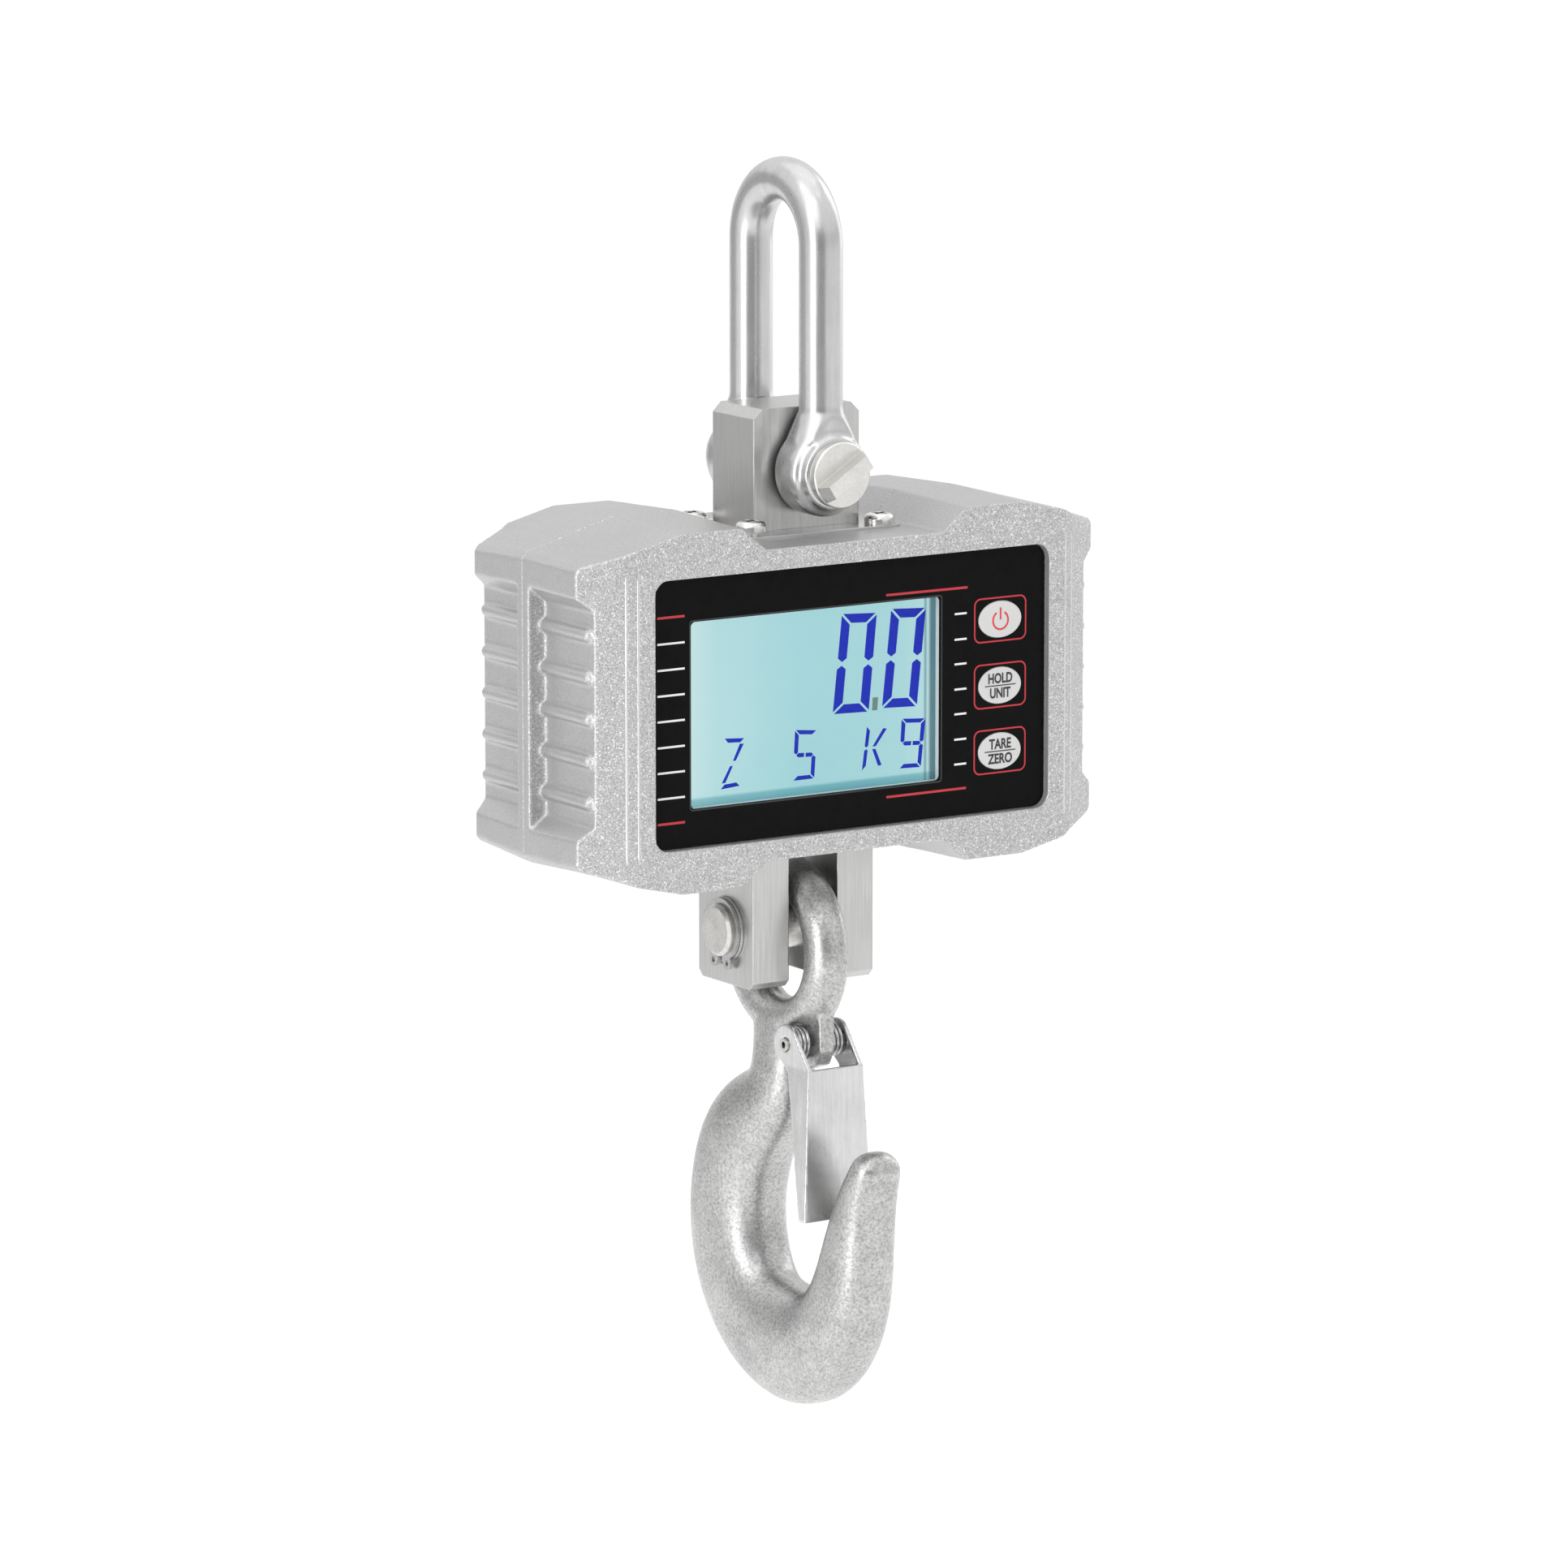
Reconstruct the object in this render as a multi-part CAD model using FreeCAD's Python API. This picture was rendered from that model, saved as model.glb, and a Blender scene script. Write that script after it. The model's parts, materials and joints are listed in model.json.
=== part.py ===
import FreeCAD, Part
import os, math

# Hanging crane scale.  Millimetres, +Z up, +X to the right of the display, -Y is the display side.
# The geometry is laid out about the middle of the display panel (x across, y depth, z height) and
# every finished piece is then moved down by seat_z, so that the origin of the part is the point of
# the bow's inner crown that rests on the crane's own hook.

V = FreeCAD.Vector

# ---------------------------------------------------------------- driving dimensions
seat_z = 145.0            # inner crown of the bow above the middle of the display panel

# bow (long shackle) and its screw pin
bow_bar_r = 6.6
bow_leg_y = 19.1          # half of the leg spacing, centre to centre
bow_centre_z = seat_z + bow_bar_r - bow_leg_y
pin_z = 65.7              # upper pin axis
eye_r = 13.5
eye_in_y = 12.6
eye_out_y = 25.2
boss_r = 11.2
boss_out_y = 28.2
pin_shank_r = 6.2
pin_thread_r = 6.0
pin_head_r = 10.0
pin_head_t = 2.9
pin_tongue_deg = 32.4      # the grip tongue across the head, from the X axis
pin_tongue_h = 4.6
pin_tongue_front = (7.8, -2.25, 2.15)      # half length, lower and upper edge at its front
pin_tongue_foot = (9.6, -3.5, 2.4)         # the same at its foot

# load cell bar
lug_x, lug_y, lug_top = 18.8, 11.25, 84.5
lug_chamfer = 2.9
clevis_x, clevis_y, clevis_bottom, clevis_top = 21.6, 15.05, -91.2, -37.0
clevis_chamfer = 2.0
slot_x = 8.8
slot_roof_z = -45.0
run_gap = 0.05            # radial clearance of a pin in its bore

# lower pin
low_pin_z = -74.5
low_pin_r = 8.0
low_pin_end = 25.7
groove_r = 7.5
washer_r, washer_t = 10.0, 0.9
clip_t, clip_r = 1.0, 9.7

# housing
front_y, rear_y = -38.0, 36.0
recess_z = 46.9           # floor of the recess at the upper and lower lug
wall = 3.2
panel_x, panel_z, panel_r = 70.1, 40.1, 4.4
panel_face_y = -35.65
panel_t = 1.0
panel_back_y = panel_face_y + panel_t
front_wall_in_y = -31.65
win = (-56.7, 32.25, -28.9, 27.1)
rib_z = (-25.0, -12.5, 0.0, 12.5, 25.0)
rib_r = 2.0
grip_floor_x = 87.6
lip_y = 2.9

# keys
key_x = 53.8
key_z = (18.4, -1.8, -21.9)
key_a, key_b = 7.75, 5.6
key_travel = 0.6

# hook: centre line y, z, half depth in the hook's plane, half thickness across it
hook_sections = [
    (1.0, -104.0, 11.6, 6.9),
    (1.2, -111.5, 10.9, 7.6),
    (3.1, -126.0, 11.5, 9.1),
    (16.3, -140.2, 15.1, 11.8),
    (25.8, -159.6, 16.7, 12.5),
    (25.3, -180.2, 17.2, 12.5),
    (14.0, -198.0, 17.6, 12.0),
    (-5.2, -204.6, 18.6, 11.3),
    (-23.5, -200.1, 16.4, 11.0),
    (-35.0, -185.7, 13.6, 10.8),
    (-40.2, -168.1, 11.0, 9.8),
    (-45.2, -151.5, 7.6, 8.8),
    (-48.9, -143.0, 5.9, 8.0)]
ring_hole_r = 15.6
ring_bar_r = 6.7
ring_gap = 0.12
ring_z = low_pin_z + low_pin_r + ring_gap - ring_hole_r     # centre of the eye

# latch
latch_y, latch_z = -14.8, -109.0
latch_t = 1.4
latch_top_w, latch_low_w = 9.9, 12.3
latch_plate_top_z, latch_low_z = -115.1, -161.5
ear_r = 6.2


# ---------------------------------------------------------------- helpers
def box(x0, x1, y0, y1, z0, z1):
    return Part.makeBox(x1 - x0, y1 - y0, z1 - z0, V(x0, y0, z0))


def cyl(r, p, d, h):
    return Part.makeCylinder(r, h, V(*p), V(*d))


def fuse(first, *rest):
    out = first.fuse(list(rest)) if rest else first
    return out.removeSplitter()


def cut(base, *tools):
    for t in tools:
        base = base.cut(t)
    return base


def prism_xz(pts, y0, y1):
    w = Part.makePolygon([V(x, y0, z) for x, z in pts] + [V(pts[0][0], y0, pts[0][1])])
    return Part.Face(w).extrude(V(0, y1 - y0, 0))


def prism_xy(pts, z0, z1):
    w = Part.makePolygon([V(x, y, z0) for x, y in pts] + [V(pts[0][0], pts[0][1], z0)])
    return Part.Face(w).extrude(V(0, 0, z1 - z0))


def prism_yz(pts, x0, x1):
    w = Part.makePolygon([V(x0, y, z) for y, z in pts] + [V(x0, pts[0][0], pts[0][1])])
    return Part.Face(w).extrude(V(x1 - x0, 0, 0))


def plate_y(x0, x1, z0, z1, r, y0, y1):
    """Rounded rectangle in XZ, extruded along Y."""
    b = box(x0, x1, y0, y1, z0, z1)
    edges = [e for e in b.Edges if abs(e.Vertexes[0].Y - e.Vertexes[1].Y) > 1e-6]
    return b.makeFillet(r, edges)


def plate_z(x0, x1, y0, y1, r, z0, z1):
    b = box(x0, x1, y0, y1, z0, z1)
    edges = [e for e in b.Edges if abs(e.Vertexes[0].Z - e.Vertexes[1].Z) > 1e-6]
    return b.makeFillet(r, edges)


def ellipse_y(cx, cz, a, b, y0, y1):
    e = Part.Ellipse(V(0, 0, 0), a, b).toShape()
    f = Part.Face(Part.Wire([e]))
    s = f.extrude(V(0, 0, y1 - y0))
    s.rotate(V(0, 0, 0), V(1, 0, 0), 90)          # +Z becomes -Y
    s.translate(V(cx, y1, cz))
    return s


def mirror_y(s):
    return s.mirror(V(0, 0, 0), V(0, 1, 0))


def mirror_x(s):
    return s.mirror(V(0, 0, 0), V(1, 0, 0))


def mirror_z(s):
    return s.mirror(V(0, 0, 0), V(0, 0, 1))


nodes = {}


def put(name, *solids):
    nodes[name] = list(solids)


# ---------------------------------------------------------------- bow and screw pin
def make_bow():
    circle = Part.Face(Part.Wire([Part.Circle(V(0, bow_leg_y, bow_centre_z), V(0, 0, 1), bow_bar_r).toShape()]))
    crown = circle.revolve(V(0, 0, bow_centre_z), V(1, 0, 0), 180)
    parts = [crown]
    for s in (-1, 1):
        parts.append(cyl(bow_bar_r, (0, s * bow_leg_y, pin_z), (0, 0, 1), bow_centre_z - pin_z))
        y0, y1 = sorted((s * eye_in_y, s * eye_out_y))
        eye = cyl(eye_r, (0, y0, pin_z), (0, 1, 0), y1 - y0)
        eye = eye.makeFillet(2.6, [e for e in eye.Edges if e.Curve.TypeId == 'Part::GeomCircle'])
        y0, y1 = sorted((s * (eye_out_y - 4), s * boss_out_y))
        boss = cyl(boss_r, (0, y0, pin_z), (0, 1, 0), y1 - y0)
        outer = [e for e in boss.Edges if e.Curve.TypeId == 'Part::GeomCircle'
                 and abs(abs(e.Curve.Center.y) - boss_out_y) < 1e-6]
        boss = boss.makeFillet(0.8, outer)
        # the bar swells into the eye
        neck = Part.makeCone(10.4, bow_bar_r, 9.0, V(0, s * bow_leg_y, pin_z + 9.5), V(0, 0, 1))
        lim = box(-12, 12, *sorted((s * eye_in_y, s * 26.2)), pin_z + 9, pin_z + 20)
        parts += [eye, boss, neck.common(lim)]
    b = fuse(*parts)
    b = cut(b, cyl(pin_shank_r + run_gap, (0, -40, pin_z), (0, 1, 0), 45),
            cyl(pin_thread_r, (0, 5, pin_z), (0, 1, 0), 40))
    return b


put("shackle_bow", make_bow())


def make_pin():
    y_head_back = -boss_out_y
    y_face = y_head_back - pin_head_t
    head = cyl(pin_head_r, (0, y_face, pin_z), (0, 1, 0), pin_head_t)
    head = head.makeChamfer(0.45, [e for e in head.Edges if e.Curve.TypeId == 'Part::GeomCircle'
                                   and abs(e.Curve.Center.y - y_face) < 1e-6])
    shank = cyl(pin_shank_r, (0, y_head_back, pin_z), (0, 1, 0), y_head_back * -1 + 12.4)
    thread = cyl(pin_thread_r, (0, 12.4, pin_z), (0, 1, 0), boss_out_y - 12.4 - 0.6)
    p = fuse(head, shank, thread)
    # a grip tongue with slanted ends stands on the head's face
    def outline(size, y):
        h, lo, hi = size
        pts = [V(-h, y, lo), V(h, y, lo), V(h, y, hi), V(-h, y, hi), V(-h, y, lo)]
        return Part.makePolygon(pts)
    tongue = Part.makeLoft([outline(pin_tongue_foot, y_face), outline(pin_tongue_front, y_face - pin_tongue_h)], True, True)
    tongue = fuse(tongue, box(-9.6, 9.6, y_face - 0.001, y_face + 0.6, pin_tongue_foot[1], pin_tongue_foot[2]))
    tongue.rotate(V(0, 0, 0), V(0, 1, 0), -pin_tongue_deg)
    tongue.translate(V(0, 0, pin_z))
    tongue = tongue.common(cyl(pin_head_r - 0.45, (0, y_face - 8, pin_z), (0, 1, 0), 8.6))
    return fuse(p, tongue)


put("shackle_pin", make_pin())


# ---------------------------------------------------------------- load cell bar
def make_cell():
    lug = prism_xz([(-lug_x, -40), (lug_x, -40), (lug_x, lug_top - lug_chamfer), (lug_x - lug_chamfer, lug_top),
                    (-lug_x + lug_chamfer, lug_top), (-lug_x, lug_top - lug_chamfer)], -lug_y, lug_y)
    c = clevis_chamfer
    low = prism_yz([(-clevis_y, clevis_top), (clevis_y, clevis_top), (clevis_y, clevis_bottom + c),
                    (clevis_y - c, clevis_bottom), (-clevis_y + c, clevis_bottom), (-clevis_y, clevis_bottom + c)],
                   -clevis_x, clevis_x)
    b = fuse(lug, low)
    slot = box(-slot_x, slot_x, -30, 30, clevis_bottom - 1, slot_roof_z)
    slot = slot.makeFillet(3.0, [e for e in slot.Edges
                                 if min(v.Z for v in e.Vertexes) > slot_roof_z - 1e-6
                                 and abs(e.Vertexes[0].Y - e.Vertexes[1].Y) > 1])
    b = cut(b, slot, cyl(pin_shank_r + run_gap, (0, -40, pin_z), (0, 1, 0), 80),
            cyl(low_pin_r + run_gap, (-40, 0, low_pin_z), (1, 0, 0), 80))
    # gauge section: two cross holes joined by a slot
    b = cut(b, cyl(8.0, (0, -20, 14), (0, 1, 0), 40), cyl(8.0, (0, -20, -14), (0, 1, 0), 40),
            box(-2.5, 2.5, -20, 20, -14, 14))
    return b


put("load_cell", make_cell())
gs = []
for s in (-1, 1):
    for z in (14, -14):
        x0, x1 = sorted((s * lug_x, s * (lug_x + 0.15)))
        gs.append(box(x0, x1, -3, 3, z - 4.5, z + 4.5))
put("strain_gauges", *gs)
gc = []
for s in (-1, 1):
    x0, x1 = sorted((s * lug_x, s * (lug_x + 1.6)))
    cover = plate_z(x0, x1, -9, 9, 0.6, -23, 23)
    for z in (14, -14):
        cover = cover.cut(box(*sorted((s * (lug_x - 1), s * (lug_x + 0.15))), -3, 3, z - 4.5, z + 4.5))
    gc.append(cover)
put("gauge_covers", *gc)


# ---------------------------------------------------------------- housing shells
def ring_pts(quarter):
    """Closed outline from the upper right quarter, listed from the middle outwards."""
    up = quarter
    right = up + [(x, -z) for x, z in reversed(up)]
    left = [(-x, z) for x, z in reversed(right)]
    return right + left


def outline_wire(quarter, y):
    pts = ring_pts(quarter)
    return Part.makePolygon([V(x, y, z) for x, z in pts] + [V(pts[0][0], y, pts[0][1])])


q_front = [(31.5, recess_z), (40.3, 53.9), (60.5, 53.9), (76.5, 50.2), (80.0, 48.6), (90.6, 45.1), (93.2, 42.6)]
q_mid = [(31.5, recess_z), (39.4, 54.9), (60.4, 54.9), (76.5, 50.6), (80.0, 49.6), (90.8, 46.8), (93.2, 44.4)]
q_rear = [(31.5, recess_z), (40.3, 53.4), (60.3, 53.4), (76.3, 49.4), (79.6, 47.9), (90.4, 44.4), (93.2, 41.8)]

plan = [(-76.3, front_y), (76.3, front_y), (79.7, front_y + 1.7), (92.2, -28.8), (92.95, -2.0), (92.95, 2.0),
        (92.2, 28.8), (79.7, rear_y - 1.6), (76.3, rear_y), (-76.3, rear_y), (-79.7, rear_y - 1.6), (-92.2, 28.8),
        (-92.95, 2.0), (-92.95, -2.0), (-92.2, -28.8), (-79.7, front_y + 1.7)]

in_q = [(34.6, 43.5), (42.2, 50.9), (59.6, 50.9), (84.3, 44.2)]
in_plan = [(-71.5, front_wall_in_y), (71.5, front_wall_in_y), (84.3, -25.0), (84.3, 24.0), (71.5, rear_y - wall),
           (-71.5, rear_y - wall), (-84.3, 24.0), (-84.3, -25.0)]

lid_x, lid_z = 34.0, 31.0            # battery lid half sizes
screw_xz = [(-75.5, 39.5), (75.5, 39.5), (-75.5, -39.5), (75.5, -39.5)]
plate_screw = [(-23.0, -16.2), (23.0, -16.2), (-23.0, 16.2), (23.0, 16.2)]
low_screw = [(-25.4, -17.6), (25.4, -17.6), (-25.4, 17.6), (25.4, 17.6)]


def grip_cut(sx, sy):
    pts = [(sx * grip_floor_x, -32.2), (sx * 95.0, -38.4), (sx * 95.0, 38.4), (sx * grip_floor_x, 32.2)]
    t = prism_xz(pts, *sorted((sy * (lip_y + 0.6), sy * 42)))
    w = prism_xy([(sx * grip_floor_x, sy * (lip_y + 1.3)), (sx * 95, sy * (lip_y - 0.2)), (sx * 95, sy * 42),
                  (sx * grip_floor_x, sy * 42)], -45, 45)
    return t.common(w)


def ribs(sx, sy):
    out = []
    for z in rib_z:
        y_in, y_out = sy * 2.0, sy * 28.6
        c = cyl(rib_r, (sx * grip_floor_x, min(y_in, y_out), z), (0, 1, 0), abs(y_out - y_in))
        e = Part.makeSphere(rib_r, V(sx * grip_floor_x, y_out, z))
        out += [c, e]
    return out


def make_shell(front):
    sy = -1 if front else 1
    w_out = outline_wire(q_front if front else q_rear, front_y if front else rear_y)
    w_mid = outline_wire(q_mid, 0)
    body = Part.makeLoft([w_mid, w_out], True, True)
    body = body.common(prism_xy(plan, -70, 70))
    for sx in (-1, 1):
        body = body.cut(grip_cut(sx, sy))
    adds = []
    for sx in (-1, 1):
        adds += ribs(sx, sy)
    body = body.fuse(adds)
    # hollow
    cav = prism_xz(ring_pts(in_q), -60, 60).common(prism_xy(in_plan, -60, 60))
    if front:
        cav = cav.common(box(-100, 100, -60, 0.001, -70, 70))
    else:
        cav = cav.common(box(-100, 100, -0.001, 60, -70, 70))
    body = body.cut(cav)
    # bosses for the assembly screws
    for x, z in screw_xz:
        if front:
            boss = cyl(4.6, (x, -33.0, z), (0, 1, 0), 33.0)
        else:
            boss = cyl(5.6, (x, 0, z), (0, 1, 0), rear_y - wall + 0.5)
        body = body.fuse(boss)
    # thickened pads under the plate screws
    for x, y in plate_screw:
        if (y < 0) == front:
            body = body.fuse(cyl(4.5, (x, y, 37.5), (0, 0, 1), 7.0))
    for x, y in low_screw:
        if (y < 0) == front:
            body = body.fuse(cyl(4.0, (x, y, -37.5), (0, 0, -1), 7.0))
    half = box(-120, 120, -60, 0, -80, 80) if front else box(-120, 120, 0, 60, -80, 80)
    body = body.common(half)
    # openings for the load bar
    body = cut(body, box(-21.0, 21.0, -13.4, 13.4, 30, 60), box(-23.2, 23.2, -16.6, 16.6, -60, -30))
    # groove for the seal
    body = body.cut(seal_ring)
    for x, z in screw_xz:
        if front:
            body = body.cut(cyl(2.0, (x, -14.0, z), (0, 1, 0), 14.0))
        else:
            body = body.cut(cyl(2.3, (x, -1, z), (0, 1, 0), 60)).cut(cyl(4.0, (x, rear_y - 4.5, z), (0, 1, 0), 10))
    for x, y in plate_screw:
        body = body.cut(cyl(2.1, (x, y, 38.5), (0, 0, 1), 12.0))
    for x, y in low_screw:
        body = body.cut(cyl(1.7, (x, y, -39.5), (0, 0, -1), 12.0))
    return body


def make_seal():
    a = Part.Face(outline_wire([(33.0, 45.6), (40.6, 53.0), (60.1, 53.0), (86.4, 46.0)], -0.8))
    b = Part.Face(outline_wire([(33.5, 44.4), (41.1, 51.8), (59.9, 51.8), (85.2, 45.1)], -0.8))
    ring = a.cut(b).extrude(V(0, 1.6, 0))
    # two runs, left and right of the load bar
    return ring.cut(box(-24.6, 24.6, -5, 5, -70, 70))


seal_ring = make_seal()
put("housing_seal", *seal_ring.Solids)

front = make_shell(True)
front = front.cut(plate_y(-panel_x - 0.3, panel_x + 0.3, -panel_z - 0.3, panel_z + 0.3, panel_r + 0.3,
                          front_y - 2, panel_back_y))
front = front.cut(plate_y(win[0] - 1.8, win[1] + 2.6, win[2] - 1.6, win[3] + 1.6, 1.2, -36, -30))
for z in key_z:
    front = front.cut(ellipse_y(key_x, z, key_a + 1.5, key_b + 1.5, -36, -30))
for x, z in [(-63.5, 34.0), (38.5, 34.0), (-63.5, -34.0), (38.5, -34.0)]:
    stand = cyl(3.0, (x, front_wall_in_y - 0.4, z), (0, 1, 0), -24.0 - front_wall_in_y + 0.4)
    front = front.fuse(stand).cut(cyl(1.2, (x, -30.5, z), (0, 1, 0), 6.6))
for x, z in [(53.8, 32.2), (53.8, -34.2)]:
    stand = cyl(2.6, (x, front_wall_in_y - 0.4, z), (0, 1, 0), -29.6 - front_wall_in_y + 0.4)
    front = front.fuse(stand)
put("front_housing", front.removeSplitter())

rear = make_shell(False)
rear = rear.cut(plate_y(-lid_x - 0.3, lid_x + 0.3, -lid_z - 0.3, lid_z + 0.3, 4.3, rear_y - 2.6, rear_y + 3))
rear = rear.cut(plate_y(-29.9, 29.9, -26.9, 26.9, 2.0, rear_y - 8, rear_y + 3))
lid_screw = [(-31.9, 0.0), (31.9, 0.0)]
for x, z in lid_screw:
    rear = rear.cut(cyl(1.5, (x, rear_y - 7.0, z), (0, 1, 0), 6.0))
put("rear_housing", rear.removeSplitter())


def pan_screw(x, y, z, shank_r, shank_len, head_r, head_h, axis):
    """Pan-head cross-recess screw.  z (or y) is the seat of the head, axis points out of the head."""
    head = cyl(head_r, (0, 0, 0), (0, 0, 1), head_h)
    head = head.makeFillet(head_h * 0.62, [e for e in head.Edges if e.Curve.TypeId == 'Part::GeomCircle'
                                           and abs(e.Curve.Center.z - head_h) < 1e-6])
    shank = cyl(shank_r, (0, 0, -shank_len), (0, 0, 1), shank_len + 0.2)
    s = fuse(head, shank)
    w, r = head_r * 0.17, head_r * 0.55
    cross = box(-r, r, -w, w, head_h - 1.5, head_h + 1).fuse(box(-w, w, -r, r, head_h - 1.5, head_h + 1))
    cross.rotate(V(0, 0, 0), V(0, 0, 1), 27)
    s = s.cut(cross)
    if axis == (0, 1, 0):
        s.rotate(V(0, 0, 0), V(1, 0, 0), -90)
    elif axis == (0, -1, 0):
        s.rotate(V(0, 0, 0), V(1, 0, 0), 90)
    elif axis == (0, 0, -1):
        s.rotate(V(0, 0, 0), V(1, 0, 0), 180)
    s.translate(V(x, y, z))
    return s


put("housing_screws", *[pan_screw(x, rear_y - 4.5, z, 2.0, 43.0, 3.7, 2.6, (0, 1, 0)) for x, z in screw_xz])

# cover plates around the lugs, with their seals and screws
plate_hx, plate_hy, plate_t = 28.5, 20.6, 0.8


def cover_plate(hx, hy, z0, z1, top):
    p = plate_z(-plate_hx, plate_hx, -plate_hy, plate_hy, 2.0, z0, z1)
    p = p.cut(box(-hx, hx, -hy, hy, z0 - 1, z1 + 1))
    for x, y in plate_screw:
        p = p.cut(cyl(2.3, (x, y, z0 - 1), (0, 0, 1), z1 - z0 + 2))
    return p


def frame_seal(ox, oy, ix, iy, z0, z1):
    return plate_z(-ox, ox, -oy, oy, 1.0, z0, z1).cut(box(-ix, ix, -iy, iy, z0 - 1, z1 + 1))


put("top_plate", cover_plate(lug_x + 0.15, lug_y + 0.15, recess_z, recess_z + plate_t, True))
put("top_seal", frame_seal(21.0, 13.4, lug_x, lug_y, recess_z - 3.2, recess_z))
put("top_plate_screws", *[pan_screw(x, y, recess_z + plate_t + (1.3 if (x < 0 and y < 0) else 0.0), 2.1, 8.0, 4.65, 3.2,
                                    (0, 0, 1)) for x, y in plate_screw])


def low_plate():
    p = plate_z(-plate_hx, plate_hx, -plate_hy, plate_hy, 2.0, -recess_z - plate_t, -recess_z)
    p = p.cut(box(-clevis_x - 0.15, clevis_x + 0.15, -clevis_y - 0.15, clevis_y + 0.15, -60, -40))
    for x, y in low_screw:
        p = p.cut(cyl(1.7, (x, y, -60), (0, 0, 1), 20))
    return p


put("bottom_plate", low_plate())
put("bottom_seal", frame_seal(23.2, 16.6, clevis_x, clevis_y, -recess_z, -recess_z + 3.2))
put("bottom_plate_screws", *[pan_screw(x, y, -recess_z - plate_t, 1.7, 7.0, 3.0, 2.0, (0, 0, -1))
                             for x, y in low_screw])

# ---------------------------------------------------------------- display panel
overlay = plate_y(-panel_x, panel_x, -panel_z, panel_z, panel_r, panel_face_y, panel_back_y)
overlay = overlay.cut(plate_y(win[0], win[1], win[2], win[3], 1.5, -40, -30))
for z in key_z:
    overlay = overlay.cut(ellipse_y(key_x, z, key_a + 0.25, key_b + 0.25, -40, -30))
put("front_panel", overlay)
put("display_window", plate_y(win[0], win[1], win[2], win[3], 1.5, panel_face_y, panel_back_y))

# display module: frame, glass and light guide
fx0, fx1, fz0, fz1 = win[0] - 1.5, win[1] + 2.3, win[2] - 1.3, win[3] + 1.3
frame_s = plate_y(fx0, fx1, fz0, fz1, 1.0, -34.45, -25.6)
frame_s = frame_s.cut(box(fx0 + 1.2, fx1 - 1.9, -36, -26.8, fz0 + 1.2, fz1 - 1.2))
put("lcd_frame", frame_s)
put("lcd_glass", box(fx0 + 1.3, fx1 - 2.0, -32.4, -30.2, fz0 + 1.3, fz1 - 1.3))
put("lcd_backlight", box(fx0 + 1.3, fx1 - 2.0, -30.2, -26.8, fz0 + 1.3, fz1 - 1.3))

# keys: an oval cap with a retaining flange behind the panel
for name, z in zip(("power_key", "hold_unit_key", "tare_zero_key"), key_z):
    cap = ellipse_y(key_x, z, key_a, key_b, panel_face_y - 0.35, panel_back_y + 0.5)
    cap = cap.makeFillet(0.3, [e for e in cap.Edges if all(abs(v.Y - (panel_face_y - 0.35)) < 1e-6 for v in e.Vertexes)])
    flange = ellipse_y(key_x, z, key_a + 1.0, key_b + 1.0, panel_back_y + 0.3, panel_back_y + 1.1)
    put(name, cap.fuse(flange).removeSplitter())

kb = plate_y(key_x - 10.5, key_x + 10.5, -37.0, 35.0, 1.5, -29.6, -28.4)
put("key_board", kb)
put("tact_switches", *[fuse(box(key_x - 3, key_x + 3, -31.9, -29.6, z - 3, z + 3),
                            cyl(1.7, (key_x, -32.5, z), (0, 1, 0), 1.0)) for z in key_z])

# main board with its parts
pcb = plate_y(-68.0, 43.0, -38.0, 38.0, 1.5, -24.0, -22.4)
for x, z in [(-63.5, 34.0), (38.5, 34.0), (-63.5, -34.0), (38.5, -34.0)]:
    pcb = pcb.cut(cyl(1.6, (x, -26, z), (0, 1, 0), 6))
put("main_board", pcb)
put("main_board_screws", *[pan_screw(x, -22.4, z, 1.2, 7.0, 2.5, 1.7, (0, 1, 0))
                           for x, z in [(-63.5, 34.0), (38.5, 34.0), (-63.5, -34.0), (38.5, -34.0)]])
put("board_chips", box(-50, -40, -22.4, -20.6, -6, 4), box(-38, -26, -22.4, -20.4, 22, 32),
    box(-60, -54, -22.4, -19.4, -28, -16), box(26, 34, -22.4, -18.9, 18, 30))
put("buzzer", cut(cyl(6.0, (-36.0, -22.4, -22.0), (0, 1, 0), 6.5), cyl(1.0, (-36.0, -17.9, -22.0), (0, 1, 0), 3)))

# battery box in the back
bb = plate_y(-29.7, 29.7, -26.7, 26.7, 1.8, 16.4, rear_y - 3.0)
bb = bb.cut(box(-28.2, 28.2, 17.9, 50, -25.2, 25.2))
for z in (-8.1, 8.1):
    bb = bb.fuse(box(-28.4, 28.4, 17.0, 24.0, z - 0.5, z + 0.5))
put("battery_box", bb.removeSplitter())
cells = []
for i, z in enumerate((-16.6, 0.0, 16.6)):
    s = 1 if i % 2 else -1
    c = cyl(7.1, (-24.4, 25.2, z), (1, 0, 0), 48.8)
    c = c.makeFillet(0.6, [e for e in c.Edges if e.Curve.TypeId == 'Part::GeomCircle'])
    n = cyl(2.7, (s * 24.4, 25.2, z), (s, 0, 0), 1.4)
    cells.append(fuse(c, n))
put("battery_cells", *cells)
con = []
for i, z in enumerate((-16.6, 0.0, 16.6)):
    s = 1 if i % 2 else -1
    x0, x1 = sorted((s * 25.8, s * 26.2))
    con.append(box(x0, x1, 20, 30, z - 4.5, z + 4.5))
    t = Part.makeCone(5.0, 2.6, 3.6, V(-s * 28.2, 25.2, z), V(s, 0, 0))
    t = t.cut(Part.makeCone(4.4, 2.0, 3.6, V(-s * 28.2, 25.2, z), V(s, 0, 0)))
    con.append(t)
put("battery_contacts", *con)
lid = plate_y(-lid_x, lid_x, -lid_z, lid_z, 4.0, rear_y - 2.6, rear_y)
for x, z in lid_screw:
    lid = lid.cut(cyl(1.7, (x, 20, z), (0, 1, 0), 30))
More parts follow.
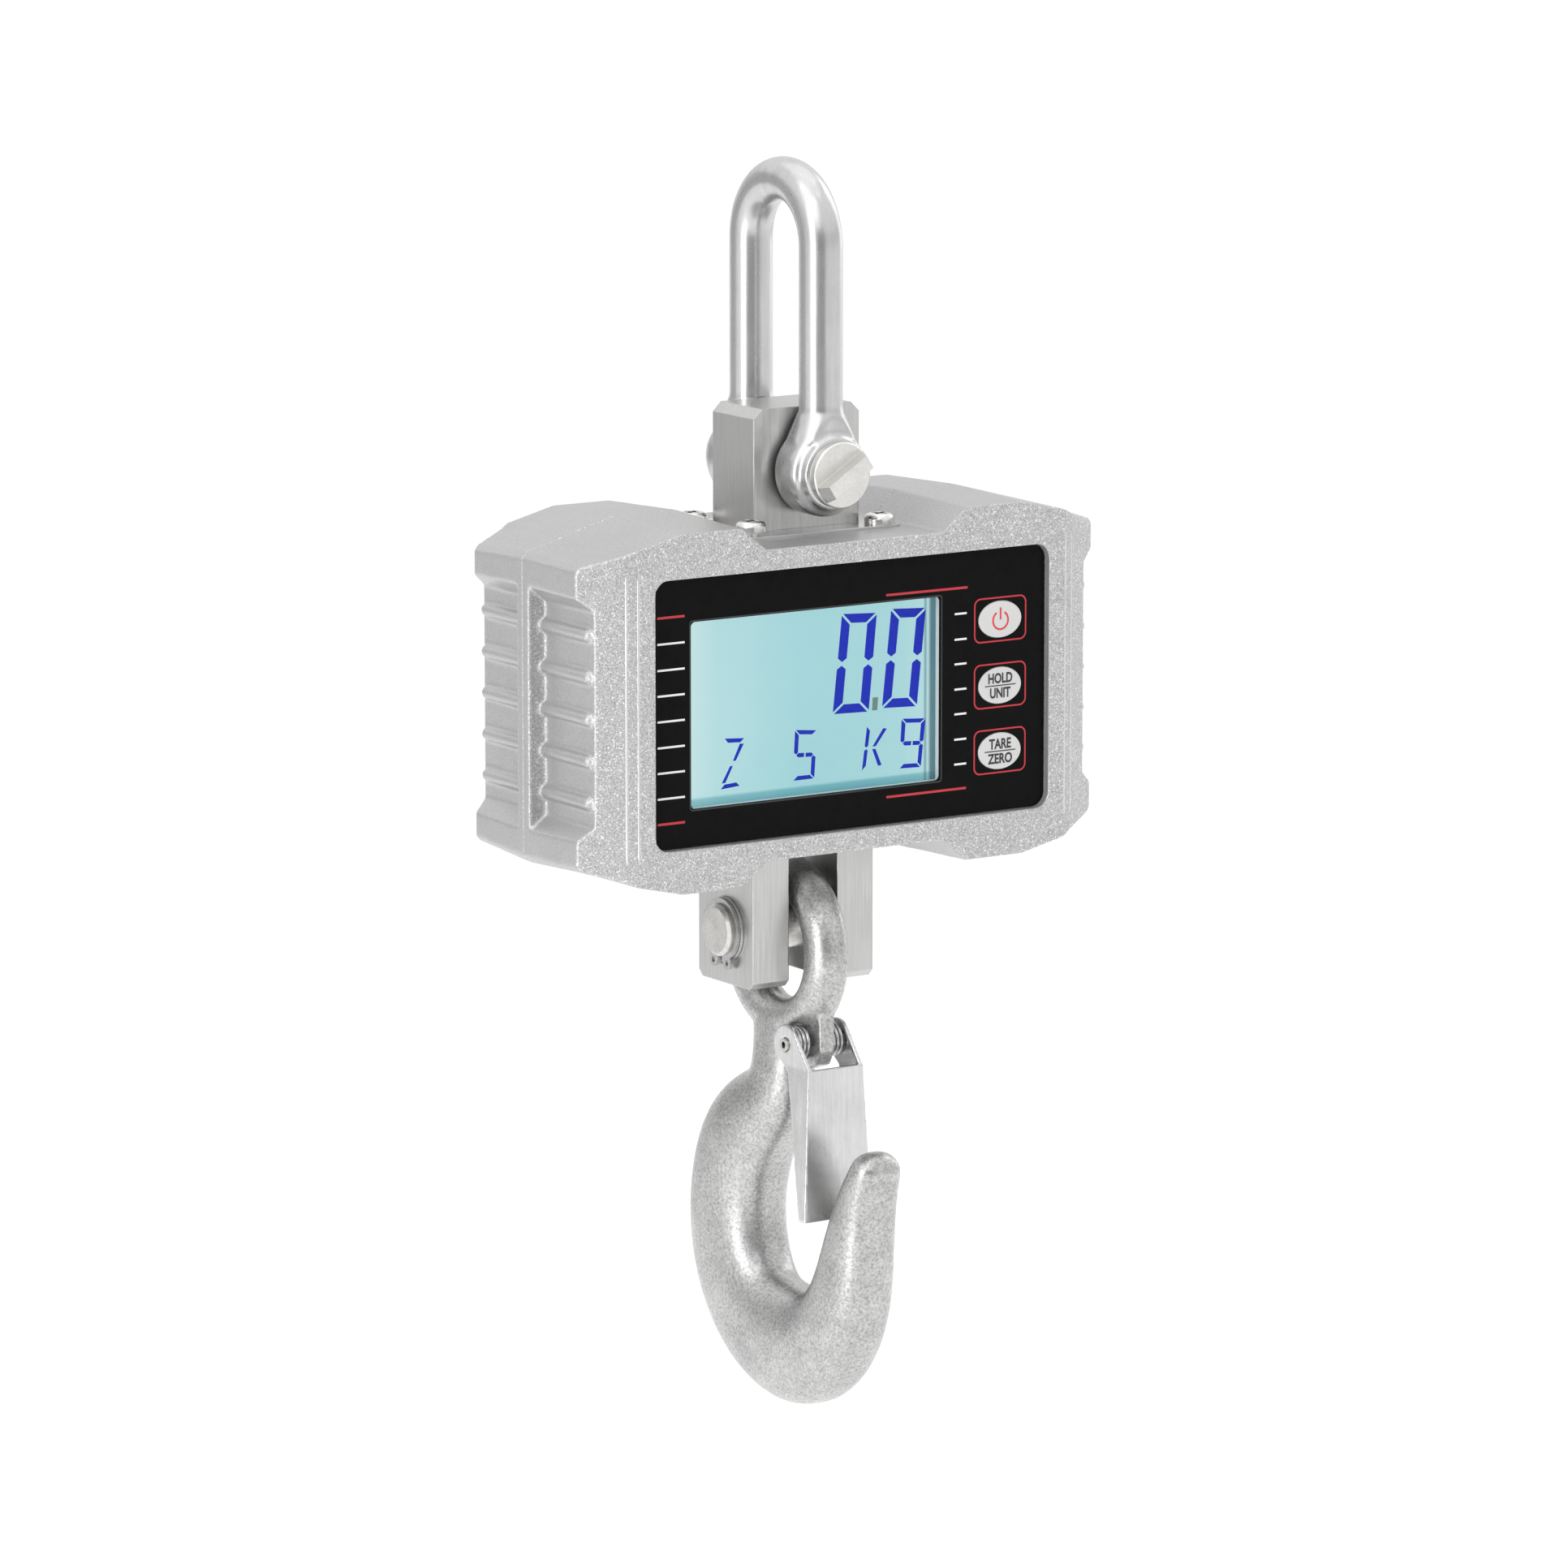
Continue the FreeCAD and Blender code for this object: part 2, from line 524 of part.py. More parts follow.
for i in range(5):
    z = -16 + 8 * i
    lid = lid.fuse(plate_y(-20, 20, z - 0.9, z + 0.9, 0.85, rear_y - 0.2, rear_y + 0.7))
put("battery_lid", lid.removeSplitter())
lid_seal = plate_y(-29.6, 29.6, -26.6, 26.6, 1.8, rear_y - 3.0, rear_y - 2.6).cut(
    plate_y(-28.2, 28.2, -25.2, 25.2, 1.0, rear_y - 4, rear_y))
put("battery_lid_seal", lid_seal)
put("battery_lid_screws", *[pan_screw(x, rear_y, z, 1.5, 6.5, 2.0, 1.2, (0, 1, 0)) for x, z in lid_screw])


# cable from the gauges to the main board: straight runs joined by tangent arcs
def tube(points, radii, r):
    """Round tube through points, with a tangent arc of the given radius at each inner point."""
    P = [V(*p) for p in points]
    edges, start = [], P[0]
    for i in range(1, len(P) - 1):
        a, b = (P[i - 1] - P[i]).normalize(), (P[i + 1] - P[i]).normalize()
        half = math.acos(max(-1, min(1, a.dot(b)))) / 2
        d = radii[i - 1] / math.tan(half)
        p0, p1 = P[i] + a * d, P[i] + b * d
        bis = (a + b).normalize()
        mid = P[i] + bis * (radii[i - 1] / math.sin(half) - radii[i - 1])
        edges += [Part.LineSegment(start, p0).toShape(), Part.Arc(p0, mid, p1).toShape()]
        start = p1
    edges.append(Part.LineSegment(start, P[-1]).toShape())
    path = Part.Wire(edges)
    prof = Part.Wire([Part.Circle(P[0], (P[1] - P[0]).normalize(), r).toShape()])
    return path.makePipeShell([prof], True, True)


put("load_cell_cable", tube([(-lug_x - 1.6, 0, 4), (-38.0, 0.0, 4.0), (-46.0, -9.0, 10.0), (-52.0, -15.0, 20.0),
                             (-52.0, -22.4, 20.0)], [8.0, 7.0, 4.5], 1.25))
put("battery_lead", tube([(-25.0, 16.4, -20.0), (-25.0, 8.0, -20.0), (-30.0, 0.0, -28.0), (-34.0, -12.0, -33.0),
                          (-34.0, -22.4, -33.0)], [6.0, 8.0, 6.0], 1.0))


# ---------------------------------------------------------------- lower pin, washers and circlips
def make_low_pin():
    p = cyl(low_pin_r, (-low_pin_end, 0, low_pin_z), (1, 0, 0), 2 * low_pin_end)
    p = p.makeChamfer(0.9, [e for e in p.Edges if e.Curve.TypeId == 'Part::GeomCircle'])
    x0 = clevis_x + 0.15 + washer_t + 0.05
    for s in (-1, 1):
        g = cyl(12, (s * x0, 0, low_pin_z), (s, 0, 0), clip_t + 0.1)
        g = g.cut(cyl(groove_r, (s * (x0 - 1), 0, low_pin_z), (s, 0, 0), 5))
        p = p.cut(g)
    return p


put("hook_pin", make_low_pin())
ws, cs = [], []
for s in (-1, 1):
    xw = clevis_x + 0.12
    w = cyl(washer_r, (s * xw, 0, low_pin_z), (s, 0, 0), washer_t).cut(
        cyl(low_pin_r + 0.03, (s * (xw - 1), 0, low_pin_z), (s, 0, 0), 5))
    ws.append(w)
    xc = clevis_x + 0.15 + washer_t + 0.1
    c = cyl(clip_r, (s * xc, 0, low_pin_z), (s, 0, 0), clip_t)
    for a in (-1, 1):
        ang = math.radians(-90 + a * 21)
        ly, lz = 10.3 * math.cos(ang), low_pin_z + 10.3 * math.sin(ang)
        c = c.fuse(cyl(2.1, (s * xc, ly, lz), (s, 0, 0), clip_t))
    c = c.cut(cyl(groove_r, (s * (xc - 1), 0, low_pin_z), (s, 0, 0), 5))
    c = c.cut(box(*sorted((s * (xc - 1), s * (xc + 3))), -1.25, 1.25, low_pin_z - 14, low_pin_z))
    for a in (-1, 1):
        ang = math.radians(-90 + a * 21)
        ly, lz = 10.4 * math.cos(ang), low_pin_z + 10.4 * math.sin(ang)
        c = c.cut(cyl(0.9, (s * (xc - 1), ly, lz), (s, 0, 0), 5))
    cs.append(c)
put("pin_washers", *ws)
put("pin_circlips", *cs)


# ---------------------------------------------------------------- hook
def oval(cy, cz, ty, tz, a, b, n=20, e=2.4):
    """Closed smooth section across the direction (ty, tz): a in the hook's plane, b along X."""
    ny, nz = -tz, ty
    pts = []
    for i in range(n):
        t = 2 * math.pi * i / n
        ct, st = math.cos(t), math.sin(t)
        cx = math.copysign(abs(ct) ** (2 / e), ct)
        sx = math.copysign(abs(st) ** (2 / e), st)
        pts.append(V(b * sx, cy + ny * a * cx, cz + nz * a * cx))
    c = Part.BSplineCurve()
    c.interpolate(pts, PeriodicFlag=True)
    return Part.Wire([c.toShape()])


def spline_rows(rows, n):
    """Natural cubic through the rows by chord length, sampled at n places, with tangents."""
    m = len(rows)
    d = [0.0]
    for i in range(1, m):
        d.append(d[-1] + math.hypot(rows[i][0] - rows[i - 1][0], rows[i][1] - rows[i - 1][1]))
    h = [d[i + 1] - d[i] for i in range(m - 1)]
    k = len(rows[0])
    second = []
    for c in range(k):
        yv = [r[c] for r in rows]
        A = [0.0] * m
        B = [1.0] * m
        C = [0.0] * m
        D = [0.0] * m
        for i in range(1, m - 1):
            A[i], B[i], C[i] = h[i - 1], 2 * (h[i - 1] + h[i]), h[i]
            D[i] = 6 * ((yv[i + 1] - yv[i]) / h[i] - (yv[i] - yv[i - 1]) / h[i - 1])
        for i in range(1, m):
            w = A[i] / B[i - 1]
            B[i] -= w * C[i - 1]
            D[i] -= w * D[i - 1]
        M = [0.0] * m
        M[-1] = D[-1] / B[-1]
        for i in range(m - 2, -1, -1):
            M[i] = (D[i] - C[i] * M[i + 1]) / B[i]
        second.append(M)
    out = []
    for j in range(n):
        s = d[-1] * j / (n - 1)
        i = max(q for q in range(m - 1) if d[q] <= s + 1e-9)
        t0, t1 = d[i + 1] - s, s - d[i]
        val, der = [], []
        for c in range(k):
            y0, y1, m0, m1, H = rows[i][c], rows[i + 1][c], second[c][i], second[c][i + 1], h[i]
            val.append(m0 * t0 ** 3 / (6 * H) + m1 * t1 ** 3 / (6 * H) + (y0 / H - m0 * H / 6) * t0
                       + (y1 / H - m1 * H / 6) * t1)
            der.append(-m0 * t0 ** 2 / (2 * H) + m1 * t1 ** 2 / (2 * H) - (y0 / H - m0 * H / 6)
                       + (y1 / H - m1 * H / 6))
        out.append((val, der))
    return out


def make_hook():
    wires = []
    samples = spline_rows(hook_sections, 27)
    for val, der in samples:
        L = math.hypot(der[0], der[1])
        wires.append(oval(val[0], val[1], der[0] / L, der[1] / L, val[2], val[3]))
    # rounded tip
    val, der = samples[-1]
    L = math.hypot(der[0], der[1])
    ty, tz = der[0] / L, der[1] / L
    for ang in (25, 50, 70, 82):
        q = math.radians(ang)
        wires.append(oval(val[0] + ty * val[2] * 1.05 * math.sin(q), val[1] + tz * val[2] * 1.05 * math.sin(q), ty, tz,
                          val[2] * math.cos(q), val[3] * math.cos(q)))
    bowl = Part.makeLoft(wires, True, False)
    ring_mid = ring_hole_r + ring_bar_r
    ring = Part.makeTorus(ring_mid, ring_bar_r, V(0, 0, ring_z), V(1, 0, 0))
    # the fin that carries the latch
    fin = prism_yz([(-20.5, -92.0), (-23.0, -97.0), (-23.3, -111.0), (-20.6, -115.6), (-12.0, -118.5), (2.0, -119.0),
                    (2.0, -103.0), (-9.0, -103.2), (-14.0, -100.0)], -2.7, 2.7)
    h = fuse(bowl, ring, fin)
    h = h.cut(cyl(ring_hole_r, (-20, 0, ring_z), (1, 0, 0), 40))
    h = h.cut(cyl(2.0, (-20, latch_y, latch_z), (1, 0, 0), 40))
    # clear room for the coils beside the fin
    for s in (-1, 1):
        x0, x1 = sorted((s * 2.7, s * 20))
        h = h.cut(cyl(6.4, (s * 2.7, latch_y, latch_z), (s, 0, 0), 17.3))
    return h


put("hook", make_hook())
lp = cyl(2.0, (-10.6, latch_y, latch_z), (1, 0, 0), 21.2).cut(cyl(1.05, (-12, latch_y, latch_z), (1, 0, 0), 24))
put("latch_pin", lp)


# ---------------------------------------------------------------- latch and its spring
def make_latch():
    y_top, y_low = -27.6, -29.2
    prof = prism_yz([(latch_y - 5.0, latch_z + 3.66), (y_top, latch_plate_top_z), (y_low, latch_low_z),
                     (-25.6, latch_low_z), (-16.0, -117.0), (-9.4, -112.0)], -20, 20)
    prof = prof.fuse(cyl(ear_r, (-20, latch_y, latch_z), (1, 0, 0), 40))
    trap = prism_xz([(-latch_top_w, -95), (latch_top_w, -95), (latch_top_w, latch_plate_top_z),
                     (latch_low_w, latch_low_z), (-latch_low_w, latch_low_z), (-latch_top_w, latch_plate_top_z)],
                    -60, 20)
    outer = prof.common(trap)
    tw, lw = latch_top_w - latch_t, latch_low_w - latch_t
    inner = prism_xz([(-tw, -90), (tw, -90), (tw, latch_plate_top_z), (lw, latch_low_z - 2), (-lw, latch_low_z - 2),
                      (-tw, latch_plate_top_z)], -60, 20)
    back = prism_yz([(y_top + latch_t, latch_plate_top_z), (y_low + latch_t, latch_low_z - 5), (10, latch_low_z - 5),
                     (10, -90), (-40, -90), (-40, latch_plate_top_z)], -20, 20)
    h = outer.cut(inner.common(back))
    h = h.cut(cyl(2.06, (-20, latch_y, latch_z), (1, 0, 0), 40))
    return h.removeSplitter()


put("safety_latch", make_latch())


def make_spring():
    out = []
    wire_r, coil_r, turns, pitch = 0.58, 4.75, 3, 1.42
    for s in (-1, 1):
        hx = Part.makeHelix(pitch, pitch * turns, coil_r)
        prof = Part.Wire([Part.Circle(V(coil_r, 0, 0), V(0, 1, pitch / (2 * math.pi * coil_r)), wire_r).toShape()])
        sp = Part.Wire(hx.Edges).makePipeShell([prof], True, True)
        sp.rotate(V(0, 0, 0), V(0, 1, 0), 90)         # coil axis along X
        if s < 0:
            sp = mirror_x(sp)
        x_in = 2.7 + wire_r + 0.25
        sp.translate(V(s * x_in, latch_y, latch_z))
        out.append(sp)
    return out


put("latch_spring", *make_spring())

# ---------------------------------------------------------------- write the files
os.makedirs("parts", exist_ok=True)
total = 0.0
for name, solids in nodes.items():
    moved = []
    for s in solids:
        for one in s.Solids:
            c = one.copy()
            c.translate(V(0, 0, -seat_z))
            if c.Volume < 0:
                c.reverse()
            moved.append(c)
    ok = all(m.isValid() for m in moved)
    shape = moved[0] if len(moved) == 1 else Part.makeCompound(moved)
    shape.exportStep("parts/%s.step" % name)
    bb = shape.BoundBox
    print("%-20s solids %d valid %s vol %.0f  x %.1f..%.1f y %.1f..%.1f z %.1f..%.1f" % (
        name, len(moved), ok, sum(m.Volume for m in moved), bb.XMin, bb.XMax, bb.YMin, bb.YMax, bb.ZMin, bb.ZMax))
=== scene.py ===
import bpy, bmesh, json, math
from mathutils import Vector, Matrix

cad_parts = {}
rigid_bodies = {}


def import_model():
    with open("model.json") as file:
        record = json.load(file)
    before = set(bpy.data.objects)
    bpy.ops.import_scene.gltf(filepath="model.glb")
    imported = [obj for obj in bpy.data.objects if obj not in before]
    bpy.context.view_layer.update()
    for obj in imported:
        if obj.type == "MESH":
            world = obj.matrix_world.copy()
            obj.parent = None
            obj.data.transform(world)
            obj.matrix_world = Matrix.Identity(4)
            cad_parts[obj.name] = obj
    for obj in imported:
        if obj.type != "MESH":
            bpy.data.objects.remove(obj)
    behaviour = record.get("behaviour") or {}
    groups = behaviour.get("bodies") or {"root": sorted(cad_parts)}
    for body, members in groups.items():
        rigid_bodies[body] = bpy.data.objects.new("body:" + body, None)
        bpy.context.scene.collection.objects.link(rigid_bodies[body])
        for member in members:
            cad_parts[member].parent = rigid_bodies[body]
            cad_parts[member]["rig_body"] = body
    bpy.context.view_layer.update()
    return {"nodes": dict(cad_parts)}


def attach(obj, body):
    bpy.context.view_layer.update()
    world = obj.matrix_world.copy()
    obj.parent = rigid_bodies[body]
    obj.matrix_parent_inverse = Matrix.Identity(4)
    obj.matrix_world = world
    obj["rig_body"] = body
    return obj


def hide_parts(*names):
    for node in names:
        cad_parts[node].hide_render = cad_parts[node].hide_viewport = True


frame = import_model()
N = frame["nodes"]
scene = bpy.context.scene
SEAT = 0.145          # the bow's seat above the middle of the panel, as in the CAD


def P(x, y, z):
    """Panel-centred millimetres to the row frame in metres."""
    return Vector((x / 1000, y / 1000, z / 1000 - SEAT))


# ------------------------------------------------------------------ camera
az, el = math.radians(-33.19), math.radians(10.25)
back = Vector((math.sin(az) * math.cos(el), -math.cos(az) * math.cos(el), math.sin(el)))
right = Vector((math.cos(az), math.sin(az), 0))
up = back.cross(right)
cam_data = bpy.data.cameras.new("camera")
cam_data.lens = 189.88
cam_data.sensor_width = 36.0
cam_data.clip_start, cam_data.clip_end = 0.05, 60
cam = bpy.data.objects.new("camera", cam_data)
scene.collection.objects.link(cam)
rot = Matrix((right, up, back)).transposed()
cam.matrix_world = Matrix.Translation((-1.34849, -2.06051, 0.26809)) @ rot.to_4x4()
scene.camera = cam
scene.view_settings.view_transform = "Standard"


# ------------------------------------------------------------------ materials
class Mat:
    def __init__(self, name):
        self.m = bpy.data.materials.new(name)
        self.m.use_nodes = True
        self.nt = self.m.node_tree
        self.b = self.nt.nodes["Principled BSDF"]
        self.tc = self.nt.nodes.new("ShaderNodeTexCoord")

    def new(self, kind, **kw):
        n = self.nt.nodes.new(kind)
        for k, v in kw.items():
            setattr(n, k, v)
        return n

    def link(self, a, b):
        self.nt.links.new(a, b)

    def put(self, **kw):
        for k, v in kw.items():
            self.b.inputs[k.replace("_", " ")].default_value = v
        return self

    def coords(self, stretch=None):
        out = self.tc.outputs["Object"]
        if stretch:
            mp = self.new("ShaderNodeMapping")
            mp.inputs["Scale"].default_value = stretch
            self.link(out, mp.inputs["Vector"])
            out = mp.outputs["Vector"]
        return out

    def noise(self, scale, detail=3.0, rough=0.55, stretch=None, distort=0.0):
        n = self.new("ShaderNodeTexNoise")
        n.inputs["Scale"].default_value = scale
        n.inputs["Detail"].default_value = detail
        n.inputs["Roughness"].default_value = rough
        n.inputs["Distortion"].default_value = distort
        self.link(self.coords(stretch), n.inputs["Vector"])
        return n.outputs["Fac"]

    def cells(self, scale, stretch=None):
        n = self.new("ShaderNodeTexVoronoi")
        n.inputs["Scale"].default_value = scale
        self.link(self.coords(stretch), n.inputs["Vector"])
        s = self.new("ShaderNodeSeparateColor")
        self.link(n.outputs["Color"], s.inputs["Color"])
        return s.outputs[0], n.outputs["Distance"]

    def ramp(self, fac, stops):
        r = self.new("ShaderNodeValToRGB")
        e = r.color_ramp.elements
        while len(e) < len(stops):
            e.new(0.5)
        for i, (p, c) in enumerate(stops):
            e[i].position = p
            e[i].color = (c, c, c, 1) if isinstance(c, (int, float)) else (*c, 1)
        self.link(fac, r.inputs["Fac"])
        return r.outputs["Color"]

    def rng(self, fac, a, b, c, d):
        r = self.new("ShaderNodeMapRange")
        for k, v in zip(("From Min", "From Max", "To Min", "To Max"), (a, b, c, d)):
            r.inputs[k].default_value = v
        self.link(fac, r.inputs["Value"])
        return r.outputs["Result"]

    def math(self, op, a, b):
        n = self.new("ShaderNodeMath", operation=op)
        for i, v in enumerate((a, b)):
            if isinstance(v, (int, float)):
                n.inputs[i].default_value = v
            else:
                self.link(v, n.inputs[i])
        return n.outputs[0]

    def mixc(self, fac, a, b, mode="MIX"):
        n = self.new("ShaderNodeMix", data_type="RGBA", blend_type=mode)
        for i, v in ((0, fac), (6, a), (7, b)):
            if isinstance(v, (int, float)):
                n.inputs[i].default_value = v
            elif isinstance(v, tuple):
                n.inputs[i].default_value = (*v, 1)
            else:
                self.link(v, n.inputs[i])
        return n.outputs[2]

    def bumps(self, *layers, edge=0.0):
        """Layers of (height, strength, distance in metres), over rounded edges if edge is given."""
        normal = None
        if edge:
            bv = self.new("ShaderNodeBevel", samples=6)
            bv.inputs["Radius"].default_value = edge
            normal = bv.outputs["Normal"]
        for h, s, d in layers:
            n = self.new("ShaderNodeBump")
            n.inputs["Strength"].default_value = s
            n.inputs["Distance"].default_value = d
            self.link(h, n.inputs["Height"])
            if normal is not None:
                self.link(normal, n.inputs["Normal"])
            normal = n.outputs["Normal"]
        if normal is not None:
            self.link(normal, self.b.inputs["Normal"])
        return self

    def color(self, c):
        self.link(c, self.b.inputs["Base Color"])
        return self

    def rough(self, r):
        self.link(r, self.b.inputs["Roughness"])
        return self

    def mask_y(self, lo, hi):
        """1 on faces that look along Y, 0 on the others."""
        s = self.new("ShaderNodeSeparateXYZ")
        self.link(self.tc.outputs["Normal"], s.inputs[0])
        a = self.new("ShaderNodeMath", operation="ABSOLUTE")
        self.link(s.outputs[1], a.inputs[0])
        return self.rng(a.outputs[0], lo, hi, 0, 1)


def metal(name, lo, hi, r0, r1, big=60.0, grain=1600.0, stretch=None, bump=0.08, dist=0.00008, edge=0.0, metallic=1.0, tint=(1, 1, 1)):
    m = Mat(name).put(Metallic=metallic)
    cloud = m.noise(big, 4, 0.6)
    fine = m.noise(grain, 2, 0.6, stretch)
    both = m.math("ADD", m.math("MULTIPLY", cloud, 0.55), m.math("MULTIPLY", fine, 0.45))
    c0, c1 = tuple(lo * t for t in tint), tuple(hi * t for t in tint)
    m.color(m.ramp(both, [(0.34, c0), (0.66, c1)]))
    m.rough(m.rng(both, 0.32, 0.68, r1, r0))
    m.bumps((fine, bump, dist), edge=edge)
    return m


def plastic(name, col, rough, grain=2500.0, bump=0.05, vary=0.08, spec=0.5, edge=0.0):
    m = Mat(name).put(**{"Specular IOR Level": spec})
    n = m.noise(grain, 2, 0.5)
    big = m.noise(45.0, 3, 0.5)
    m.color(m.ramp(big, [(0.3, tuple(c * (1 - vary) for c in col)), (0.7, tuple(min(1, c * (1 + vary)) for c in col))]))
    m.rough(m.rng(n, 0.3, 0.7, rough * 0.88, min(1, rough * 1.12)))
    m.bumps((n, bump, 0.00005), edge=edge)
    return m


# silver paint over die-cast metal: coarse and sparkling on the face, satin at the ends, with painted shade in the grip
# pockets near the parting line at both ends
paint = Mat("housing_paint").put(Metallic=0.55)
sand = paint.mask_y(0.12, 0.30)
grain = paint.noise(2300, 2, 0.7)
spark, _d = paint.cells(2900)
soft = paint.noise(28, 3, 0.5)
coarse = paint.ramp(grain, [(0.32, 0.29), (0.5, 0.45), (0.68, 0.63)])
coarse = paint.mixc(paint.rng(spark, 0.88, 0.97, 0, 0.7), coarse, (0.95, 0.95, 0.94))
satin = paint.mixc(paint.rng(grain, 0.32, 0.68, 0, 1), paint.ramp(soft, [(0.3, 0.345), (0.7, 0.38)]), paint.ramp(soft, [(0.3, 0.46), (0.7, 0.50)]))
where = paint.new("ShaderNodeSeparateXYZ")
paint.link(paint.tc.outputs["Object"], where.inputs[0])
ax = paint.new("ShaderNodeMath", operation="ABSOLUTE")
paint.link(where.outputs[0], ax.inputs[0])
ay = paint.new("ShaderNodeMath", operation="ABSOLUTE")
paint.link(where.outputs[1], ay.inputs[0])
# painted shade: the walls of the grip pockets between the ribs are marked for darkening. These are faces near the
# parting line at both ends (|x| past about 87 mm, |y| under about 7 mm) that look partly along Y.
pocket_painted_shade = paint.math("MULTIPLY", paint.rng(ax.outputs[0], 0.0866, 0.0874, 0, 1), paint.mask_y(0.45, 0.8))
pocket_painted_shade = paint.math("MULTIPLY", pocket_painted_shade, paint.rng(ay.outputs[0], 0.0075, 0.0060, 0, 1))
speck = paint.ramp(paint.noise(420, 2, 0.5), [(0.74, 1.0), (0.80, 0.80)])
paint_tone = paint.mixc(1.0, paint.mixc(sand, satin, coarse), speck, "MULTIPLY")
# the paint's own colour, mixed towards dark grey by the painted pocket shade
paint.color(paint.mixc(paint.math("MULTIPLY", pocket_painted_shade, 0.28), paint_tone, (0.20, 0.20, 0.20)))
paint.rough(paint.math("ADD", paint.rng(sand, 0, 1, 0.34, 0.42), paint.rng(spark, 0, 1, -0.05, 0.08)))
fine_h = paint.math("MULTIPLY", grain, paint.rng(sand, 0, 1, 0.55, 1.0))
paint.bumps((paint.noise(260, 3, 0.5), 0.10, 0.00010), (fine_h, 0.40, 0.00015))

# brushed steel of the load bar: fine lines along Z, slightly uneven
cellsteel = Mat("cell_steel").put(Metallic=1.0)
lines = cellsteel.noise(1.0, 3, 0.6, (2600, 2600, 55))
cloud = cellsteel.noise(42, 3, 0.5)
cellsteel.color(cellsteel.mixc(0.5, cellsteel.ramp(lines, [(0.3, (0.44, 0.437, 0.433)), (0.7, (0.64, 0.637, 0.632))]),
                               cellsteel.ramp(cloud, [(0.3, (0.50, 0.497, 0.493)), (0.7, (0.60, 0.597, 0.592))])))
cellsteel.rough(cellsteel.rng(lines, 0.3, 0.7, 0.40, 0.27))
cellsteel.bumps((lines, 0.10, 0.00006), edge=0.0006)

bow = metal("bow_steel", 0.50, 0.62, 0.22, 0.33, big=38, grain=1.0, stretch=(420, 420, 34), bump=0.05, dist=0.0001)
pin = metal("pin_steel", 0.50, 0.64, 0.22, 0.40, big=160, grain=900, bump=0.12, edge=0.0004, tint=(1, 0.985, 0.95))
top_pin = metal("top_pin_steel", 0.66, 0.78, 0.24, 0.38, big=160, grain=900, bump=0.10, edge=0.0003, tint=(1, 0.985, 0.955))
plate = metal("plate_steel", 0.62, 0.76, 0.14, 0.26, big=60, grain=1.0, stretch=(60, 1800, 1800), bump=0.05, edge=0.0002)
screw = metal("screw_steel", 0.66, 0.80, 0.12, 0.28, big=260, grain=1500, bump=0.08, edge=0.0003, tint=(1, 0.99, 0.96))
washer = metal("washer_steel", 0.55, 0.70, 0.22, 0.38, big=180, grain=1400, bump=0.08, edge=0.00015)
clip = metal("circlip_steel", 0.40, 0.55, 0.25, 0.40, big=180, grain=1400, bump=0.08, edge=0.00012)
spring = metal("spring_steel", 0.48, 0.64, 0.20, 0.36, big=240, grain=1800, bump=0.10)
contact = metal("contact_steel", 0.60, 0.74, 0.25, 0.40, big=120, grain=1500, bump=0.06, tint=(1, 0.97, 0.90))

# zinc-plated forging: mottled sheen, pits, a rougher skin in places
zinc = Mat("hook_zinc").put(Metallic=0.92)
mott = zinc.noise(95, 5, 0.62, distort=0.6)
grit = zinc.noise(1500, 3, 0.65)
patch = zinc.noise(34, 3, 0.55)
pits, _d = zinc.cells(520)
zc = zinc.ramp(mott, [(0.30, (0.42, 0.42, 0.42)), (0.52, (0.48, 0.48, 0.475)), (0.72, (0.54, 0.54, 0.53))])
zc = zinc.mixc(1.0, zc, zinc.ramp(zinc.noise(1150, 3, 0.7), [(0.34, 0.66), (0.5, 0.98), (0.66, 1.22)]), "MULTIPLY")
zc = zinc.mixc(zinc.rng(grit, 0.58, 0.80, 0, 0.55), zc, (0.22, 0.22, 0.22))
zinc.color(zc)
zinc.rough(zinc.math("ADD", zinc.rng(patch, 0.35, 0.65, 0.20, 0.36), zinc.rng(grit, 0.3, 0.7, -0.04, 0.08)))
zinc.bumps((patch, 0.10, 0.0006), (mott, 0.30, 0.00025), (grit, 0.55, 0.00015))

latch = metal("latch_zinc", 0.58, 0.70, 0.16, 0.32, big=80, grain=1.0, stretch=(900, 900, 60), bump=0.07)

black = Mat("panel_black").put(**{"Specular IOR Level": 0.05})
dust = black.noise(300, 4, 0.6)
black.color(black.ramp(dust, [(0.3, (0.0040, 0.0040, 0.0045)), (0.7, (0.0055, 0.0055, 0.006))]))
black.rough(black.rng(dust, 0.3, 0.7, 0.16, 0.26))
black.bumps((black.noise(25, 2, 0.5), 0.02, 0.0003))

clear = Mat("window_clear").put(**{"Base Color": (0.05, 0.06, 0.06, 1), "Alpha": 0.03, "Specular IOR Level": 0.12, "Roughness": 0.04})
clear.rough(clear.rng(clear.noise(120, 2, 0.5), 0.3, 0.7, 0.03, 0.07))

# lit liquid crystal glass: whiter at the left, deeper blue-green at the lower edge and the right
lcd = Mat("lcd_glass")
xyz = lcd.new("ShaderNodeSeparateXYZ")
lcd.link(lcd.tc.outputs["Object"], xyz.inputs[0])
gx = lcd.rng(xyz.outputs[0], -0.0567, 0.0322, 0, 1)
gz = lcd.rng(xyz.outputs[2], -0.0289 - SEAT, 0.0271 - SEAT, 0, 1)
wave = lcd.noise(22, 2, 0.5)
tone = lcd.ramp(gx, [(0.0, (0.66, 0.90, 0.91)), (0.12, (0.50, 0.81, 0.84)), (0.45, (0.40, 0.745, 0.79)), (0.86, (0.43, 0.76, 0.80)),
                     (0.955, (0.50, 0.80, 0.83)), (0.963, (0.10, 0.30, 0.36)), (0.972, (0.62, 0.86, 0.88)), (0.985, (0.06, 0.18, 0.23))])
